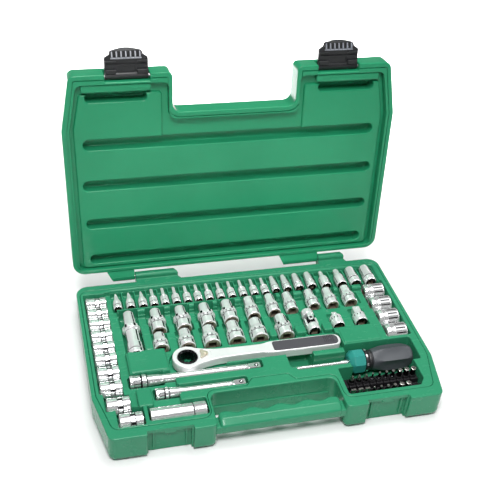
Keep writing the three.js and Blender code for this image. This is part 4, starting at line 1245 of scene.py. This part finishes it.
# ---------------------------------------------------------------- stage
def look_at(o, target, roll=0):
    back = (o.location - Vector(target)).normalized()
    right = Vector((0, 0, 1)).cross(back).normalized()
    up = back.cross(right)
    c, s = math.cos(roll), math.sin(roll)
    rotation = Matrix((right * c + up * s, up * c - right * s, back)).transposed().to_4x4()
    o.matrix_world = Matrix.Translation(o.location) @ rotation


def floor():
    bm = bmesh.new()
    bmesh.ops.create_grid(bm, x_segments=2, y_segments=2, size=6)
    mesh = to_mesh(bm, "floor")
    m, _, _, shader = new_material("floor white")
    fill(shader, Base_Color=(0.8, 0.8, 0.8, 1), Roughness=0.7, Specular_IOR_Level=0.1)
    mesh.materials.append(m)
    o = added("floor", mesh)
    o.location = (0, 0, -0.0005)


def softbox(name, where, target, width, height, watts, spread=180):
    data = bpy.data.lights.new(name, "AREA")
    data.shape, data.size, data.size_y, data.energy = "RECTANGLE", width, height, watts
    data.spread = math.radians(spread)
    o = added(name, data)
    o.location = where
    bpy.context.view_layer.update()
    look_at(o, target)


# the studio's brightness by the sine of the elevation: pale at the level and overhead, dark between
SKY = [(0.14, 0.34), (0.2, 0.05), (0.28, 0.04), (0.42, 0.22), (0.56, 0.22), (0.66, 0.06)]
SKY += [(0.8, 0.12), (0.87, 1)]


def world():
    w = bpy.data.worlds.new("studio")
    w.use_nodes = True
    nodes, links = w.node_tree.nodes, w.node_tree.links
    coords = nodes.new("ShaderNodeTexCoord")
    split = nodes.new("ShaderNodeSeparateXYZ")
    links.new(coords.outputs["Generated"], split.inputs["Vector"])
    ramp = nodes.new("ShaderNodeValToRGB")
    stops = ramp.color_ramp.elements
    stops[0].position, stops[0].color = 0, (0.42, 0.42, 0.43, 1)
    stops[1].position, stops[1].color = 1, (1, 1, 1, 1)
    for position, level in SKY:
        stops.new(position).color = (level, level, level, 1)
    links.new(split.outputs["Z"], ramp.inputs["Fac"])
    background = nodes["Background"]
    links.new(ramp.outputs["Color"], background.inputs["Color"])
    fill(background, Strength=1)
    bpy.context.scene.world = w


def view_camera():
    """The camera at the picture's angle, fitted to the corners of the case's rim and lid."""
    camera = added("camera", bpy.data.cameras.new("camera"))
    camera.data.lens, camera.data.sensor_width = 62.43, 36
    camera.data.shift_y = 0.0976
    camera.data.clip_start, camera.data.clip_end = 0.05, 30
    azimuth, elevation, roll = math.radians(-17.68), math.radians(40.14), math.radians(5.44)
    flat = math.cos(elevation)
    back = Vector((math.sin(azimuth) * flat, -math.cos(azimuth) * flat, math.sin(elevation)))
    target, distance = Vector((0.00106, 0.03353, 0.06126)), 0.98865
    camera.location = target + back * distance
    look_at(camera, target, roll)
    return camera


floor()
world()
softbox("key", (-0.25, -0.6, 1.35), (0, 0, 0.08), 0.55, 0.4, 17)
softbox("top", (0.15, 0.25, 1.5), (0, 0.05, 0.1), 0.8, 0.4, 8.5)
softbox("lid", (-0.1, -1.25, 0.55), (0, 0.12, 0.17), 0.42, 0.2, 0.06, 14)
softbox("side", (1.2, -0.3, 0.75), (0, 0, 0.1), 0.4, 0.4, 2.5)
softbox("far", (0, 0.95, 1.4), (0, 0.9, 0), 2.6, 0.7, 34, 50)

scene = bpy.context.scene
scene.camera = view_camera()
scene.view_settings.view_transform = "Standard"
scene.view_settings.look = "None"
